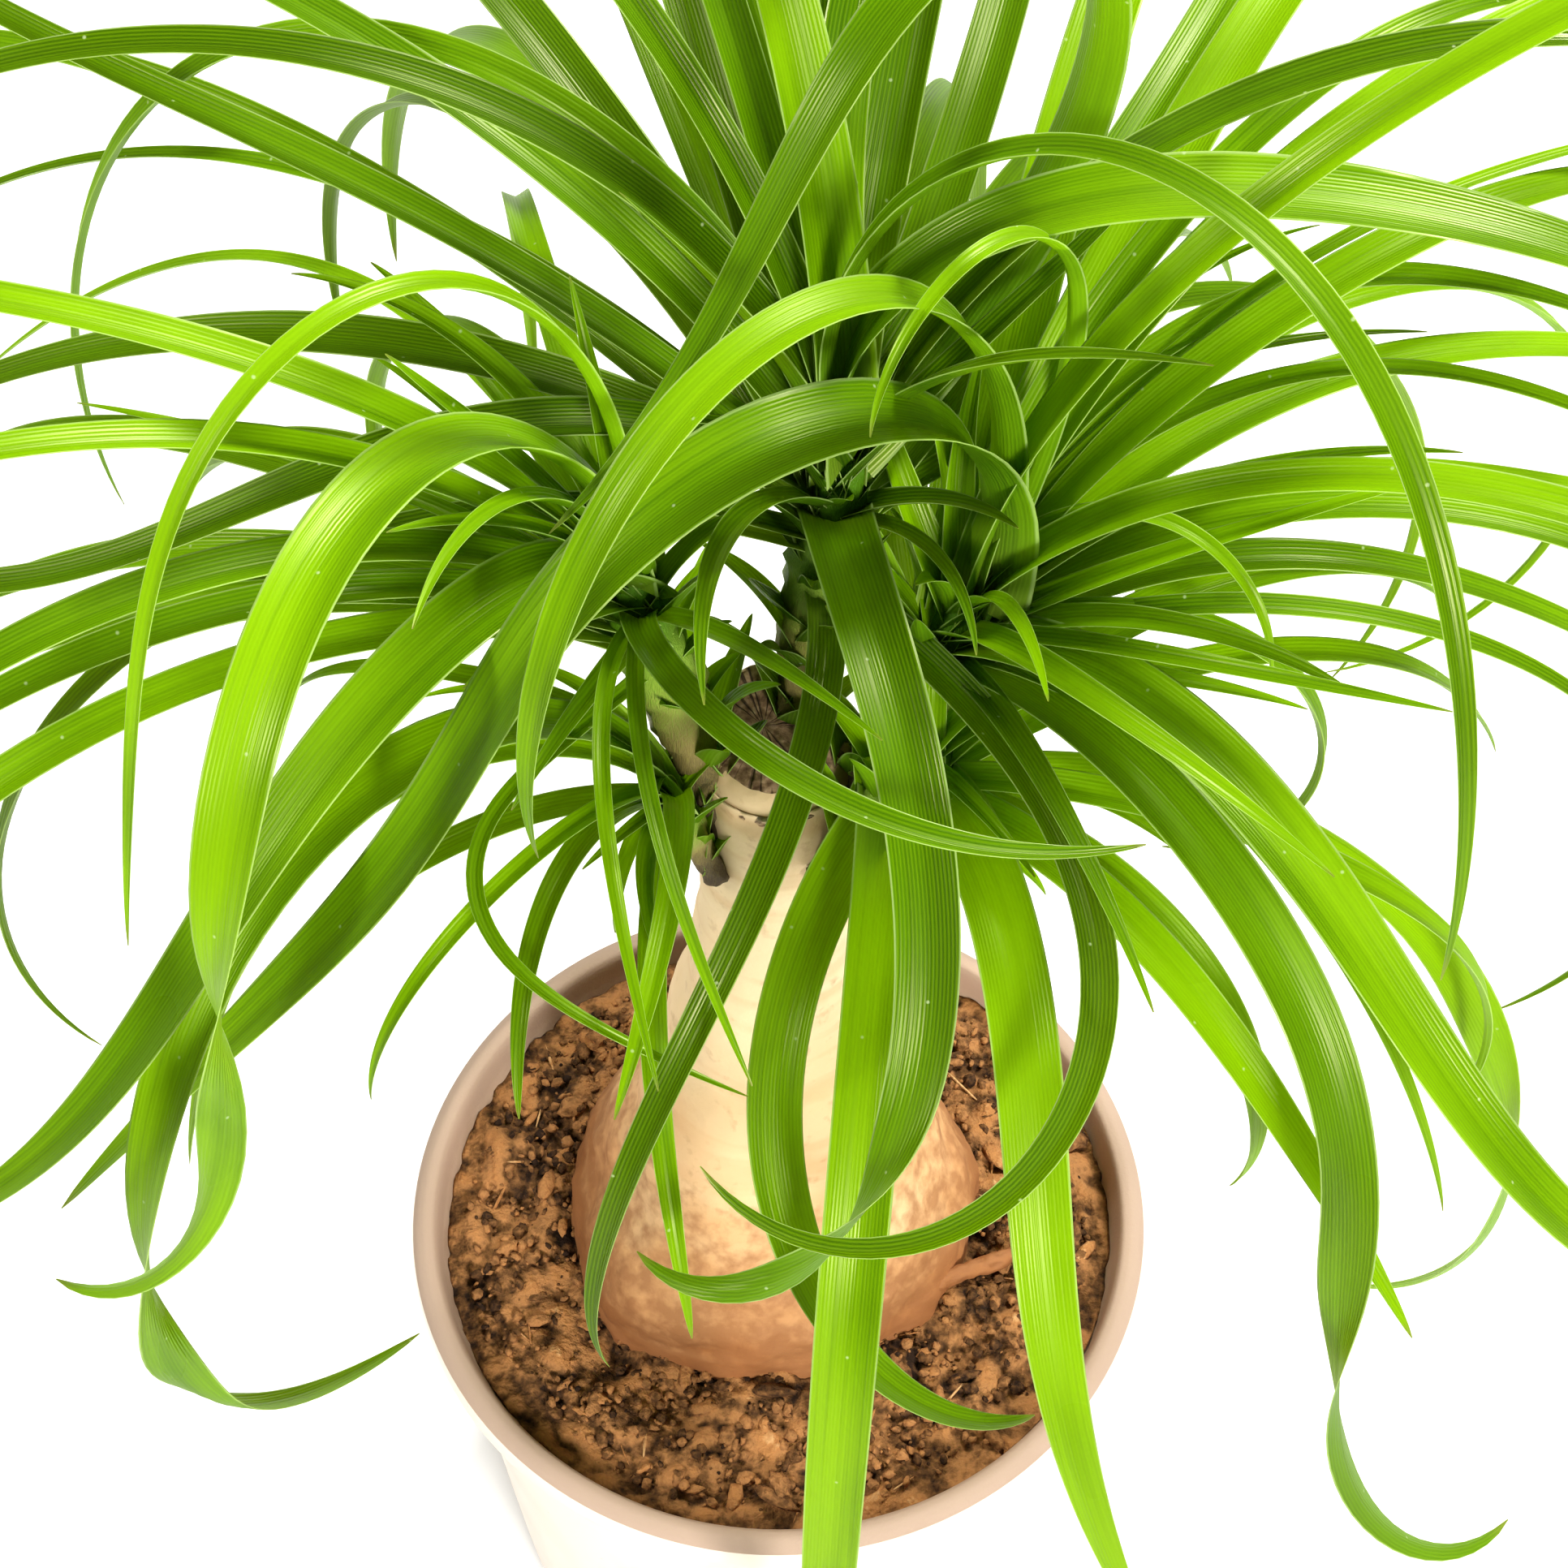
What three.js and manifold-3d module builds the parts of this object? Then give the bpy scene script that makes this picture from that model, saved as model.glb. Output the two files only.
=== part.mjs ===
// Ponytail palm in a clay pot: the pot, the potting mix in it, the swollen trunk with its
// cut corky top and surface root, and five heads of long strap leaves.
// Millimetres, +Z up, origin at the centre of the pot's foot. The plant is seen from -Y.

import * as THREE from "three";
import { mergeVertices } from "three/addons/utils/BufferGeometryUtils.js";
import Module from "manifold-3d";

const wasm = await Module();
wasm.setup();

// Driving dimensions
const POT = {
  height: 150,
  rimRadius: 85,
  rimRound: 3.2,
  lipRadius: 78.8,
  lipFootRadius: 77.8,
  lipDepth: 8,
  collarHeight: 11,
  collarRound: 2,
  bodyRadius: 78,
  footRadius: 68,
  footRound: 2.5,
  wall: 4.6,
  floor: 9,
  ledgeHeight: 134,
  sides: 40,
};
const SOIL = {
  edgeHeight: 141.2,
  edgeRun: 9,
  rise: 1.4,
  riseRadius: 46,
  relief: 1.4,
  rings: [73, 68, 63, 57, 51, 45, 36],
  lumps: 14,
  lumpRing: [54, 68],
  lumpSize: [2.4, 5],
  lumpWidth: [0.55, 0.9],
  lumpRise: [0.35, 0.6],
  lumpTilt: 0.5,
  seed: 11,
};
const TRUNK = {
  axis: [-2.5, 5],
  footHeight: 106,
  footShare: 0.5,
  bulbRadius: 47,
  bulbHeight: 143,
  // Share of bulbRadius and height above bulbHeight, from below the soil up to the neck
  bulbShape: [
    [0.76, -31],
    [0.93, -20],
    [1, -8],
    [1, 3],
    [0.95, 13],
    [0.86, 22],
    [0.76, 31],
    [0.67, 42],
    [0.6, 55],
    [0.53, 70],
    [0.455, 88],
    [0.385, 106],
  ],
  // How much wider than neckRadius, and height above bulbHeight
  neckShape: [
    [1, 126],
    [0, 146],
    [0.8, 167],
    [0, 176],
    [-2, 179],
  ],
  neckRadius: 14.8,
  neckLean: 3,
  topHeight: 322,
  topSlope: 0.3,
  cutDepth: 8,
  cutDrop: 2,
  taper: 130,
  lobe: 0.03,
  sides: 28,
};
const ROOT = {
  radius: 2.3,
  sides: 7,
  route: [
    [20, -19, 146],
    [31, -21, 148.5],
    [42, -16, 147],
    [54, -10, 144.5],
  ],
};
const STEM = { footRadius: 4.6, crownRadius: 6.4, sides: 8 };
const BLADE = {
  keel: 1.6,
  keelTaper: 0.4,
  fold: 0.28,
  rootFold: 0.55,
  foldFade: 8,
  rootFlare: 0.2,
  flareFade: 14,
  segment: 36,
  fewest: 6,
  most: 12,
  twistSpan: 0.2,
};
const LINE_STEPS = 60;
const GAP = 0.3;
// How far leaves keep from the floor, the pot and one another. Near its root a leaf may touch
// its own head for rootSkip, and the other heads for footSkip.
const CLEAR = {
  floor: 25,
  reach: 315,
  besideRim: 8,
  aboveRim: 15,
  leaf: 2.5,
  perWidth: 0.36,
  rootSkip: 55,
  footSkip: 10,
};

// A leaf that would touch another is bent clear: its turn and rise shift by whole steps, in
// degrees, as few as it takes
const BEND = { step: 4, most: 5 };

// Leaves drawn by rule: how much each turns, how steeply it starts and how much it bends over,
// in degrees for each half of its length, and how often a place is looked for
const FILL = { drift: [-25, 25], start: [25, 88], bend: [45, 75], tries: 60, seed: 2027 };

// A leaf is read as it grows: turn is its compass heading in degrees at even steps from root
// to tip (0 is +X, 90 is +Y), rise is its slope at the same steps, then its length and width.
// flip is how far along it the blade rolls over, from 0 at the root to 1 at the tip.
// The values are chosen by hand to lie over the photo's leaves, the most prominent first.
const leaf = (turn, rise, length, width, flip) => ({ turn, rise, length, width, flip });

// Each head stands on a stem from foot to crown, and its leaves spring from leafSpan of it.
// slim narrows the stem of the young shoot.
// fill adds leaves by rule: how many, between which headings, how long and how wide.
const HEADS = {
  head_back: {
    foot: [2, 10, 298],
    crown: [12, 20, 388],
    leafSpan: 40,
    leaves: [
      leaf([272, 283, 245, 125], [50, -20, -45, -15], 200, 12, 0.8),
      leaf([10, 0, -8, -12], [100, 15, -15, -35], 225, 15),
      leaf([225, 230, 235, 205], [145, 85, -55, -55], 265, 11),
      leaf([315, 300, 235, 128], [15, -8, -12, 8], 200, 7),
      leaf([280, 240, 225], [20, -35, -100], 190, 6.5),
      leaf([175, 170, 185], [48, -15, -45], 245, 9.5),
      leaf([140, 155, 178, 190], [72, 12, -62, -100], 285, 7),
      leaf([0, -35, -60, -75], [105, 35, -45, -90], 275, 6),
      leaf([185, 190, 135], [55, -22, -5], 225, 9),
      leaf([188, 195, 200], [28, -45, -120], 275, 6.5),
      leaf([168, 152, 118], [52, 5, -5], 280, 7),
      leaf([100, 100, 95], [60, 10, -50], 290, 9),
      leaf([135, 125, 115], [55, 0, -50], 290, 10),
      leaf([40, 65, 75], [35, 0, -45], 280, 9),
      leaf([110, 50, 45], [85, 15, -40], 300, 9),
      leaf([120, 105, 90], [50, -5, -60], 270, 7),
      leaf([120, 108, 95], [50, 5, -50], 290, 7.5),
      leaf([150, 148, 165], [38, -5, -35], 300, 7),
      leaf([160, 155, 170], [55, -10, -45], 255, 4),
    ],
    fill: { count: 16, turn: [20, 165], length: [230, 390], width: [7, 11] },
  },
  head_right: {
    foot: [11, 2, 298],
    crown: [35, 6, 362],
    leafSpan: 30,
    leaves: [
      leaf([215, 213, 209, 202, 192], [112, 24, -55, -44, -52], 300, 15.5),
      leaf([-50, -52, -72, 50], [42, -35, -78, -20], 280, 11.5, 0.65),
      leaf([-45, -50, 45], [40, -45, -40], 255, 12.5),
      leaf([205, 205, 212, 215], [112, 60, -38, -95], 235, 9.5),
      leaf([0, -5, -20], [45, -55, -160], 150, 5),
      leaf([15, 5, 0], [35, -25, -45], 200, 7.5),
      leaf([30, 15, 10], [30, -25, -45], 220, 9),
      leaf([40, 25, 10], [35, -15, -35], 240, 9),
      leaf([40, 25, 20], [20, -25, -30], 230, 6),
      leaf([50, 15, 0], [70, -15, -45], 225, 6),
      leaf([52, 58, 58], [65, 5, -55], 290, 11),
      leaf([80, 80, 75], [70, 10, -60], 290, 12),
      leaf([-45, -45, -45], [50, -25, -65], 165, 4.5),
      leaf([45, 15, 0], [60, -15, -40], 220, 4.5),
      leaf([38, 22, -10], [52, -38, -152], 310, 4.5),
      leaf([0, -3, -5], [35, -40, -135], 250, 4.5),
      leaf([30, -20, -60], [75, 10, -85], 87, 4),
    ],
    fill: { count: 11, turn: [-10, 110], length: [200, 360], width: [6, 11] },
  },
  head_front: {
    foot: [10, -8, 294],
    crown: [29, -9, 336],
    leafSpan: 20,
    leaves: [
      leaf([265, 262, 255], [15, -75, -95], 290, 12),
      leaf([-65, -83, -30], [45, -45, -65], 200, 12),
      leaf([235, 260, 320, 400], [10, -35, -45, -35], 165, 10.5),
      leaf([8, -28, -50], [15, -60, -130], 280, 10, 0.55),
      leaf([-38, -45, -42], [30, -30, -50], 150, 9),
    ],
    fill: { count: 4, turn: [-40, 60], length: [90, 200], width: [5, 9] },
  },
  head_left: {
    foot: [-10, 3, 298],
    crown: [-27, 3, 374],
    leafSpan: 30,
    leaves: [
      leaf([200, 245, 240, 140], [88, 10, -80, -30], 290, 12, 0.7),
      leaf([240, 225, 170], [65, -48, -38], 235, 12.5),
      leaf([175, 165, 175], [30, -25, -50], 200, 8.5),
      leaf([170, 175, 185], [20, -30, -55], 200, 9),
      leaf([-80, -25, 40], [35, -15, -30], 135, 6),
      leaf([215, 222, 232, 235], [102, 55, -55, -75], 245, 4.5),
      leaf([120, 140, 175], [35, -25, -50], 240, 4),
    ],
    fill: { count: 10, turn: [80, 200], length: [180, 340], width: [6, 11] },
  },
  head_shoot: {
    foot: [-12, -3, 288],
    crown: [-21, -4, 318],
    leafSpan: 12,
    slim: 0.55,
    leaves: [
      leaf([205, 248, 240], [80, -65, -145], 345, 11, 0.6),
      leaf([190, 205, 200], [70, -50, -80], 180, 7.5),
    ],
    fill: { count: 6, turn: [130, 290], length: [60, 130], width: [4, 6] },
  },
};

const UP = new THREE.Vector3(0, 0, 1);
const radians = THREE.MathUtils.degToRad;
const lerp = THREE.MathUtils.lerp;

// Repeatable draws between 0 and 1
function drawsFrom(seed) {
  let state = seed;
  return () => {
    state = (Math.imul(state, 1664525) + 1013904223) >>> 0;
    return state / 2 ** 32;
  };
}

// Value at t of the smooth curve through knots at even steps
function along(knots, t) {
  const last = knots.length - 1;
  const u = Math.min(t * last, last - 1e-9);
  const i = Math.floor(u);
  const f = u - i;
  const p1 = knots[i];
  const p2 = knots[i + 1];
  const p0 = i > 0 ? knots[i - 1] : 2 * p1 - p2;
  const p3 = i + 2 <= last ? knots[i + 2] : 2 * p2 - p1;
  const curve = 2 * p0 - 5 * p1 + 4 * p2 - p3 + f * (3 * (p1 - p2) + p3 - p0);
  return p1 + 0.5 * f * (p2 - p0 + f * curve);
}

// Closed solid of a three.js geometry: shared vertices are merged, and the triangles that
// this shuts, such as those round a pole, are left out
function solidOf(geometry) {
  const bare = geometry.clone();
  bare.deleteAttribute("normal");
  bare.deleteAttribute("uv");
  const merged = mergeVertices(bare, 1e-4);
  const corners = merged.index.array;
  const triVerts = [];
  for (let i = 0; i < corners.length; i += 3) {
    const [a, b, c] = corners.slice(i, i + 3);
    if (a !== b && b !== c && c !== a) triVerts.push(a, b, c);
  }
  return new wasm.Manifold(
    new wasm.Mesh({
      numProp: 3,
      vertProperties: new Float32Array(merged.attributes.position.array),
      triVerts: new Uint32Array(triVerts),
    }),
  );
}

// The largest connected body of a solid, so that no loose scrap stays beside it
function largestBody(solid) {
  return solid.decompose().reduce((best, body) => (body.volume() > best.volume() ? body : best));
}

function meshOf(name, solid, material) {
  const { vertProperties, triVerts } = solid.getMesh();
  const geometry = new THREE.BufferGeometry();
  geometry.setAttribute("position", new THREE.BufferAttribute(new Float32Array(vertProperties), 3));
  geometry.setIndex(new THREE.BufferAttribute(new Uint32Array(triVerts), 1));
  geometry.computeVertexNormals();
  const mesh = new THREE.Mesh(geometry, material);
  mesh.name = name;
  return mesh;
}

// Lathe about +Z of a profile given as [radius, height] pairs
function latheUp(profile, sides) {
  const points = profile.map(([r, z]) => new THREE.Vector2(r, z));
  return new THREE.LatheGeometry(points, sides).rotateX(Math.PI / 2);
}

// Moves each vertex by a function of its place
function displace(geometry, move) {
  const position = geometry.attributes.position;
  const point = new THREE.Vector3();
  for (let i = 0; i < position.count; i++) {
    point.fromBufferAttribute(position, i);
    move(point);
    position.setXYZ(i, point.x, point.y, point.z);
  }
  return geometry;
}

// Pot: one turned wall with a rolled collar at the rim and a flat closed floor
const innerFootRadius = POT.footRadius - POT.wall;
const innerTopRadius = POT.bodyRadius - POT.wall;
const collarFoot = POT.height - POT.collarHeight;
const lipFoot = POT.height - POT.lipDepth;

function potSolid() {
  const { height, rimRadius, rimRound, lipRadius, lipFootRadius } = POT;
  const { collarRound, bodyRadius, footRadius, footRound, floor, ledgeHeight } = POT;
  return solidOf(
    latheUp(
      [
        [0, 0],
        [footRadius - footRound, 0],
        [footRadius, footRound],
        [bodyRadius, collarFoot - collarRound],
        [rimRadius - collarRound, collarFoot],
        [rimRadius, collarFoot + collarRound],
        [rimRadius, height - rimRound],
        [rimRadius - 0.4 * rimRound, height - 0.35 * rimRound],
        [rimRadius - rimRound, height],
        [lipRadius + 0.3 * rimRound, height - 0.1 * rimRound],
        [lipRadius, height - 0.6 * rimRound],
        [lipFootRadius, lipFoot],
        [innerTopRadius, ledgeHeight],
        [innerFootRadius, floor],
        [0, floor],
      ],
      POT.sides,
    ),
  );
}

// Potting mix: fills the pot to just under the lip and rises a little towards the trunk
const soilRadius = POT.lipFootRadius - 2 * GAP;

function soilHeight(x, y) {
  const r = Math.hypot(x, y);
  const heap = 1 - THREE.MathUtils.smoothstep(r, SOIL.riseRadius, soilRadius);
  const edge = THREE.MathUtils.smoothstep(soilRadius - r, 0, SOIL.edgeRun);
  const bumps =
    Math.sin(x / 4.1 + 1.3) * Math.cos(y / 5.3) + 0.7 * Math.sin((x + 1.6 * y) / 6.7);
  return SOIL.edgeHeight + SOIL.rise * heap + SOIL.relief * edge * bumps;
}

function soilLump(draw) {
  const [near, far] = SOIL.lumpRing;
  const angle = draw() * 2 * Math.PI;
  const radius = lerp(near, far, draw());
  const x = radius * Math.cos(angle);
  const y = radius * Math.sin(angle);
  const size = lerp(...SOIL.lumpSize, draw() ** 2);
  const lump = new THREE.IcosahedronGeometry(1, 0);
  lump.scale(size, size * lerp(...SOIL.lumpWidth, draw()), size * lerp(...SOIL.lumpRise, draw()));
  lump.rotateX(SOIL.lumpTilt * (draw() - 0.5));
  lump.rotateZ(draw() * Math.PI);
  lump.translate(x, y, soilHeight(x, y) + 0.1 * size);
  return solidOf(lump);
}

function soilSolid(trunkHole) {
  const profile = [
    [0, POT.floor + GAP],
    [innerFootRadius - GAP, POT.floor + GAP],
    [innerTopRadius - GAP, POT.ledgeHeight],
    [soilRadius, SOIL.edgeHeight],
    ...SOIL.rings.map((r) => [r, SOIL.edgeHeight]),
    [0, SOIL.edgeHeight],
  ];
  const body = displace(latheUp(profile, POT.sides), (p) => {
    if (p.z > POT.ledgeHeight + 1 && Math.hypot(p.x, p.y) < innerTopRadius) p.z = soilHeight(p.x, p.y);
  });
  const draw = drawsFrom(SOIL.seed);
  const lumps = Array.from({ length: SOIL.lumps }, () => soilLump(draw));
  const mix = lumps.reduce((sum, lump) => sum.add(lump), solidOf(body));
  return largestBody(mix.subtract(trunkHole));
}

// Trunk: a swollen bulb drawn up into a neck, sawn off aslant, with one root on the soil.
// grow makes the same form a little larger all round, to cut the hole that it stands in.
function trunkSolid(grow) {
  const { footHeight, footShare, bulbRadius, bulbHeight, neckRadius, topHeight } = TRUNK;
  const shape = [
    [0, footHeight - grow],
    [bulbRadius * footShare, footHeight - grow],
    ...TRUNK.bulbShape.map(([share, up]) => [bulbRadius * share, bulbHeight + up]),
    ...TRUNK.neckShape.map(([wider, up]) => [neckRadius + wider, bulbHeight + up]),
    [0, topHeight + grow],
  ].map(([r, z]) => [r > 0 ? r + grow : 0, z]);
  const grown = displace(latheUp(shape, TRUNK.sides), (p) => {
    const angle = Math.atan2(p.y, p.x);
    const low = 1 - THREE.MathUtils.smoothstep(p.z, bulbHeight, bulbHeight + TRUNK.taper);
    const lobes = Math.cos(3 * angle + 0.6) + 0.6 * Math.sin(5 * angle + 1);
    const swell = 1 + TRUNK.lobe * low * lobes;
    p.x = p.x * swell + TRUNK.axis[0] * low;
    p.y = p.y * swell + TRUNK.axis[1] + TRUNK.neckLean * (1 - low);
    if (p.z > topHeight - TRUNK.cutDepth) p.z += TRUNK.topSlope * p.y - TRUNK.cutDrop;
  });
  return solidOf(grown).add(surfaceRoot(grow));
}

function surfaceRoot(grow) {
  const route = ROOT.route.map((p) => new THREE.Vector3(...p));
  const section = new THREE.Shape();
  section.absarc(0, 0, ROOT.radius + grow, 0, 2 * Math.PI);
  return solidOf(
    new THREE.ExtrudeGeometry(section, {
      extrudePath: new THREE.CatmullRomCurve3(route),
      steps: 6,
      curveSegments: ROOT.sides,
    }),
  );
}

// The centre line of a leaf from root to tip, in even steps
function leafLine(head, leaf) {
  const point = leafRoot(head, leaf);
  const line = [point.clone()];
  const step = leaf.length / LINE_STEPS;
  for (let i = 0; i < LINE_STEPS; i++) {
    point.addScaledVector(leafHeading(leaf, (i + 0.5) / LINE_STEPS), step);
    line.push(point.clone());
  }
  return line;
}

function leafHeading(leaf, t) {
  const turn = radians(along(leaf.turn, t));
  const rise = radians(along(leaf.rise, t));
  return new THREE.Vector3(
    Math.cos(rise) * Math.cos(turn),
    Math.cos(rise) * Math.sin(turn),
    Math.sin(rise),
  );
}

// Directions across the blade and out of its upper face, rolled over where the leaf flips
function leafSides(leaf, t) {
  const turn = radians(along(leaf.turn, t));
  const across = new THREE.Vector3(-Math.sin(turn), Math.cos(turn), 0);
  const out = leafHeading(leaf, t).cross(across);
  const roll = leafRoll(leaf, t);
  return {
    side: across.clone().multiplyScalar(Math.cos(roll)).addScaledVector(out, Math.sin(roll)),
    face: out.clone().multiplyScalar(Math.cos(roll)).addScaledVector(across, -Math.sin(roll)),
  };
}

// Leaves that lean out spring from lower on the stem than upright ones
function leafRoot(head, leaf) {
  const crown = new THREE.Vector3(...head.crown);
  const down = new THREE.Vector3(...head.foot).sub(crown).normalize();
  const lean = THREE.MathUtils.clamp(1 - leaf.rise[0] / 90, 0, 1);
  return crown.addScaledVector(down, head.leafSpan * lean);
}

function leafRoll(leaf, t) {
  if (leaf.flip === undefined) return 0;
  const { twistSpan } = BLADE;
  return Math.PI * THREE.MathUtils.smoothstep(t, leaf.flip - twistSpan, leaf.flip + twistSpan);
}

// Half the blade's width: a flared base, a long parallel run and a drawn-out tip
function halfWidth(leaf, t) {
  const taper = (1 - t ** 3) ** 0.75;
  return 0.5 * leaf.width * taper * (1 + BLADE.rootFlare * Math.exp(-BLADE.flareFade * t));
}

// Blade: a shallow V with four corners to a section, drawn to a point. Both of its faces
// are split the same way, so a twisted stretch stays a sound solid.
function bladeSolid(head, leaf) {
  const { segment, fewest, most } = BLADE;
  const sections = THREE.MathUtils.clamp(Math.round(leaf.length / segment), fewest, most);
  const line = leafLine(head, leaf);
  const corners = [];
  for (let i = 0; i < sections; i++) {
    const at = Math.round((i * LINE_STEPS) / sections);
    corners.push(...bladeSection(leaf, line[at], at / LINE_STEPS));
  }
  corners.push(line[LINE_STEPS]);
  const faces = [2, 1, 0, 3, 2, 0];
  const end = 4 * (sections - 1);
  for (let base = 0; base < end; base += 4) {
    for (let k = 0; k < 4; k++) {
      const a = base + k;
      const b = base + ((k + 1) % 4);
      faces.push(...(k % 2 === 0 ? [a, b, b + 4, a, b + 4, a + 4] : [a, b, a + 4, b, b + 4, a + 4]));
    }
  }
  for (let k = 0; k < 4; k++) faces.push(end + k, end + ((k + 1) % 4), end + 4);
  const blade = new THREE.BufferGeometry().setFromPoints(corners);
  blade.setIndex(faces);
  return solidOf(blade);
}

function bladeSection(leaf, centre, t) {
  const { side, face } = leafSides(leaf, t);
  const half = halfWidth(leaf, t);
  const lift = half * lerp(BLADE.fold, BLADE.rootFold, Math.exp(-BLADE.foldFade * t));
  const keel = BLADE.keel * (1 - BLADE.keelTaper * t);
  return [
    centre.clone().addScaledVector(side, half).addScaledVector(face, lift),
    centre.clone(),
    centre.clone().addScaledVector(side, -half).addScaledVector(face, lift),
    centre.clone().addScaledVector(face, -keel),
  ];
}

// Stem of a head: from inside the trunk up to the crown, closed by its youngest leaves
function stemSolid(head) {
  const foot = new THREE.Vector3(...head.foot);
  const axis = new THREE.Vector3(...head.crown).sub(foot);
  const length = axis.length();
  const slim = head.slim ?? 1;
  const footRadius = STEM.footRadius * slim;
  const crownRadius = STEM.crownRadius * slim;
  const profile = [
    [0, 0],
    [footRadius, 0],
    [footRadius, length * 0.35],
    [crownRadius, length * 0.7],
    [crownRadius * 0.8, length * 0.95],
    [0, length + 2 * crownRadius],
  ];
  const stem = latheUp(profile, STEM.sides);
  stem.applyQuaternion(new THREE.Quaternion().setFromUnitVectors(UP, axis.normalize()));
  stem.translate(...head.foot);
  return solidOf(stem);
}

// Whether a leaf keeps clear of the floor, the pot and every leaf and stem placed before it
function isClear(name, leaf, line, placed) {
  const { floor, reach, besideRim, aboveRim, rootSkip, footSkip, perWidth } = CLEAR;
  for (const [i, p] of line.entries()) {
    const radius = Math.hypot(p.x, p.y);
    if (p.z < floor || radius > reach) return false;
    if (radius < POT.rimRadius + besideRim && p.z < POT.height + aboveRim) return false;
    const fromRoot = (i * leaf.length) / LINE_STEPS;
    for (const other of placed) {
      if (fromRoot < (other.name === name ? rootSkip : footSkip)) continue;
      const need = CLEAR.leaf + perWidth * (leaf.width + other.width);
      if (other.line.some((q) => p.distanceToSquared(q) < need * need)) return false;
    }
  }
  return true;
}

// Shifts of turn and rise that bend a leaf clear, the smallest first
function bendShifts() {
  const shifts = [];
  for (let ring = 0; ring <= BEND.most; ring++) {
    for (let i = -ring; i <= ring; i++) {
      for (let j = -ring; j <= ring; j++) {
        if (Math.max(Math.abs(i), Math.abs(j)) === ring) shifts.push([i * BEND.step, j * BEND.step]);
      }
    }
  }
  return shifts;
}

// A leaf with its line, bent just clear of all that is placed, or nothing where no bend does
function bentClear(name, leaf, placed) {
  for (const [turnBy, riseBy] of bendShifts()) {
    const bent = {
      ...leaf,
      turn: leaf.turn.map((angle) => angle + turnBy),
      rise: leaf.rise.map((angle) => angle + riseBy),
    };
    const line = leafLine(HEADS[name], bent);
    if (isClear(name, bent, line, placed)) return { bent, line };
  }
  return null;
}

function stemLine(head) {
  const foot = new THREE.Vector3(...head.foot);
  const crown = new THREE.Vector3(...head.crown);
  return Array.from({ length: 12 }, (_, i) => foot.clone().lerp(crown, i / 11));
}

// Places the photo's leaves, the first of each head before the second of any, bent clear
function placeLeaves() {
  const heads = Object.entries(HEADS);
  const width = 2 * STEM.crownRadius;
  const placed = heads.map(([name, head]) => ({ name, width, line: stemLine(head) }));
  const wanted = heads.map(([name, head]) => ({ name, head, leaves: head.leaves }));
  for (const { head } of wanted) head.leaves = [];
  const most = Math.max(...wanted.map(({ leaves }) => leaves.length));
  for (let i = 0; i < most; i++) {
    for (const { name, head, leaves } of wanted) {
      const found = leaves[i] && bentClear(name, leaves[i], placed);
      if (!found) continue;
      placed.push({ name, width: found.bent.width, line: found.line });
      head.leaves.push(found.bent);
    }
  }
  return placed;
}

// Adds leaves drawn by rule where those of the photo leave room
function fillHeads(placed) {
  const draw = drawsFrom(FILL.seed);
  for (const [name, head] of Object.entries(HEADS)) {
    const { count, turn, length, width } = head.fill;
    for (let tries = 0, kept = 0; tries < FILL.tries * count && kept < count; tries++) {
      const heading = lerp(...turn, draw());
      const drift = lerp(...FILL.drift, draw());
      const start = lerp(...FILL.start, draw());
      const bend = lerp(...FILL.bend, draw());
      const leaf = {
        turn: [heading, heading + drift, heading + 2 * drift],
        rise: [start, start - bend, start - 2 * bend],
        length: lerp(...length, draw()),
        width: lerp(...width, draw()),
      };
      const line = leafLine(head, leaf);
      if (!isClear(name, leaf, line, placed)) continue;
      placed.push({ name, width: leaf.width, line });
      head.leaves.push(leaf);
      kept++;
    }
  }
}

function headSolid(head, trunkHole) {
  const blades = head.leaves.map((leaf) => bladeSolid(head, leaf));
  const whole = blades.reduce((sum, blade) => sum.add(blade), stemSolid(head));
  return largestBody(whole.subtract(trunkHole));
}

const material = (color, roughness) => new THREE.MeshStandardMaterial({ color, roughness, metalness: 0 });
const MATERIALS = {
  pot: material("#f3e8dc", 0.45),
  soil: material("#6b4a2c", 0.95),
  trunk: material("#cfae8a", 0.85),
  leaves: material("#6fa01c", 0.5),
};

const trunkHole = trunkSolid(GAP);
const palm = new THREE.Group();
palm.add(meshOf("pot", potSolid(), MATERIALS.pot));
palm.add(meshOf("soil", soilSolid(trunkHole), MATERIALS.soil));
palm.add(meshOf("trunk", trunkSolid(0), MATERIALS.trunk));
fillHeads(placeLeaves());
for (const [name, head] of Object.entries(HEADS)) {
  palm.add(meshOf(name, headSolid(head, trunkHole), MATERIALS.leaves));
}

export default palm;
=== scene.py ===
"""Potted ponytail palm: the finish of the pot, the potting mix, the trunk and the leaf heads."""

import math

import bpy
import numpy as np
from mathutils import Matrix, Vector, noise


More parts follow.
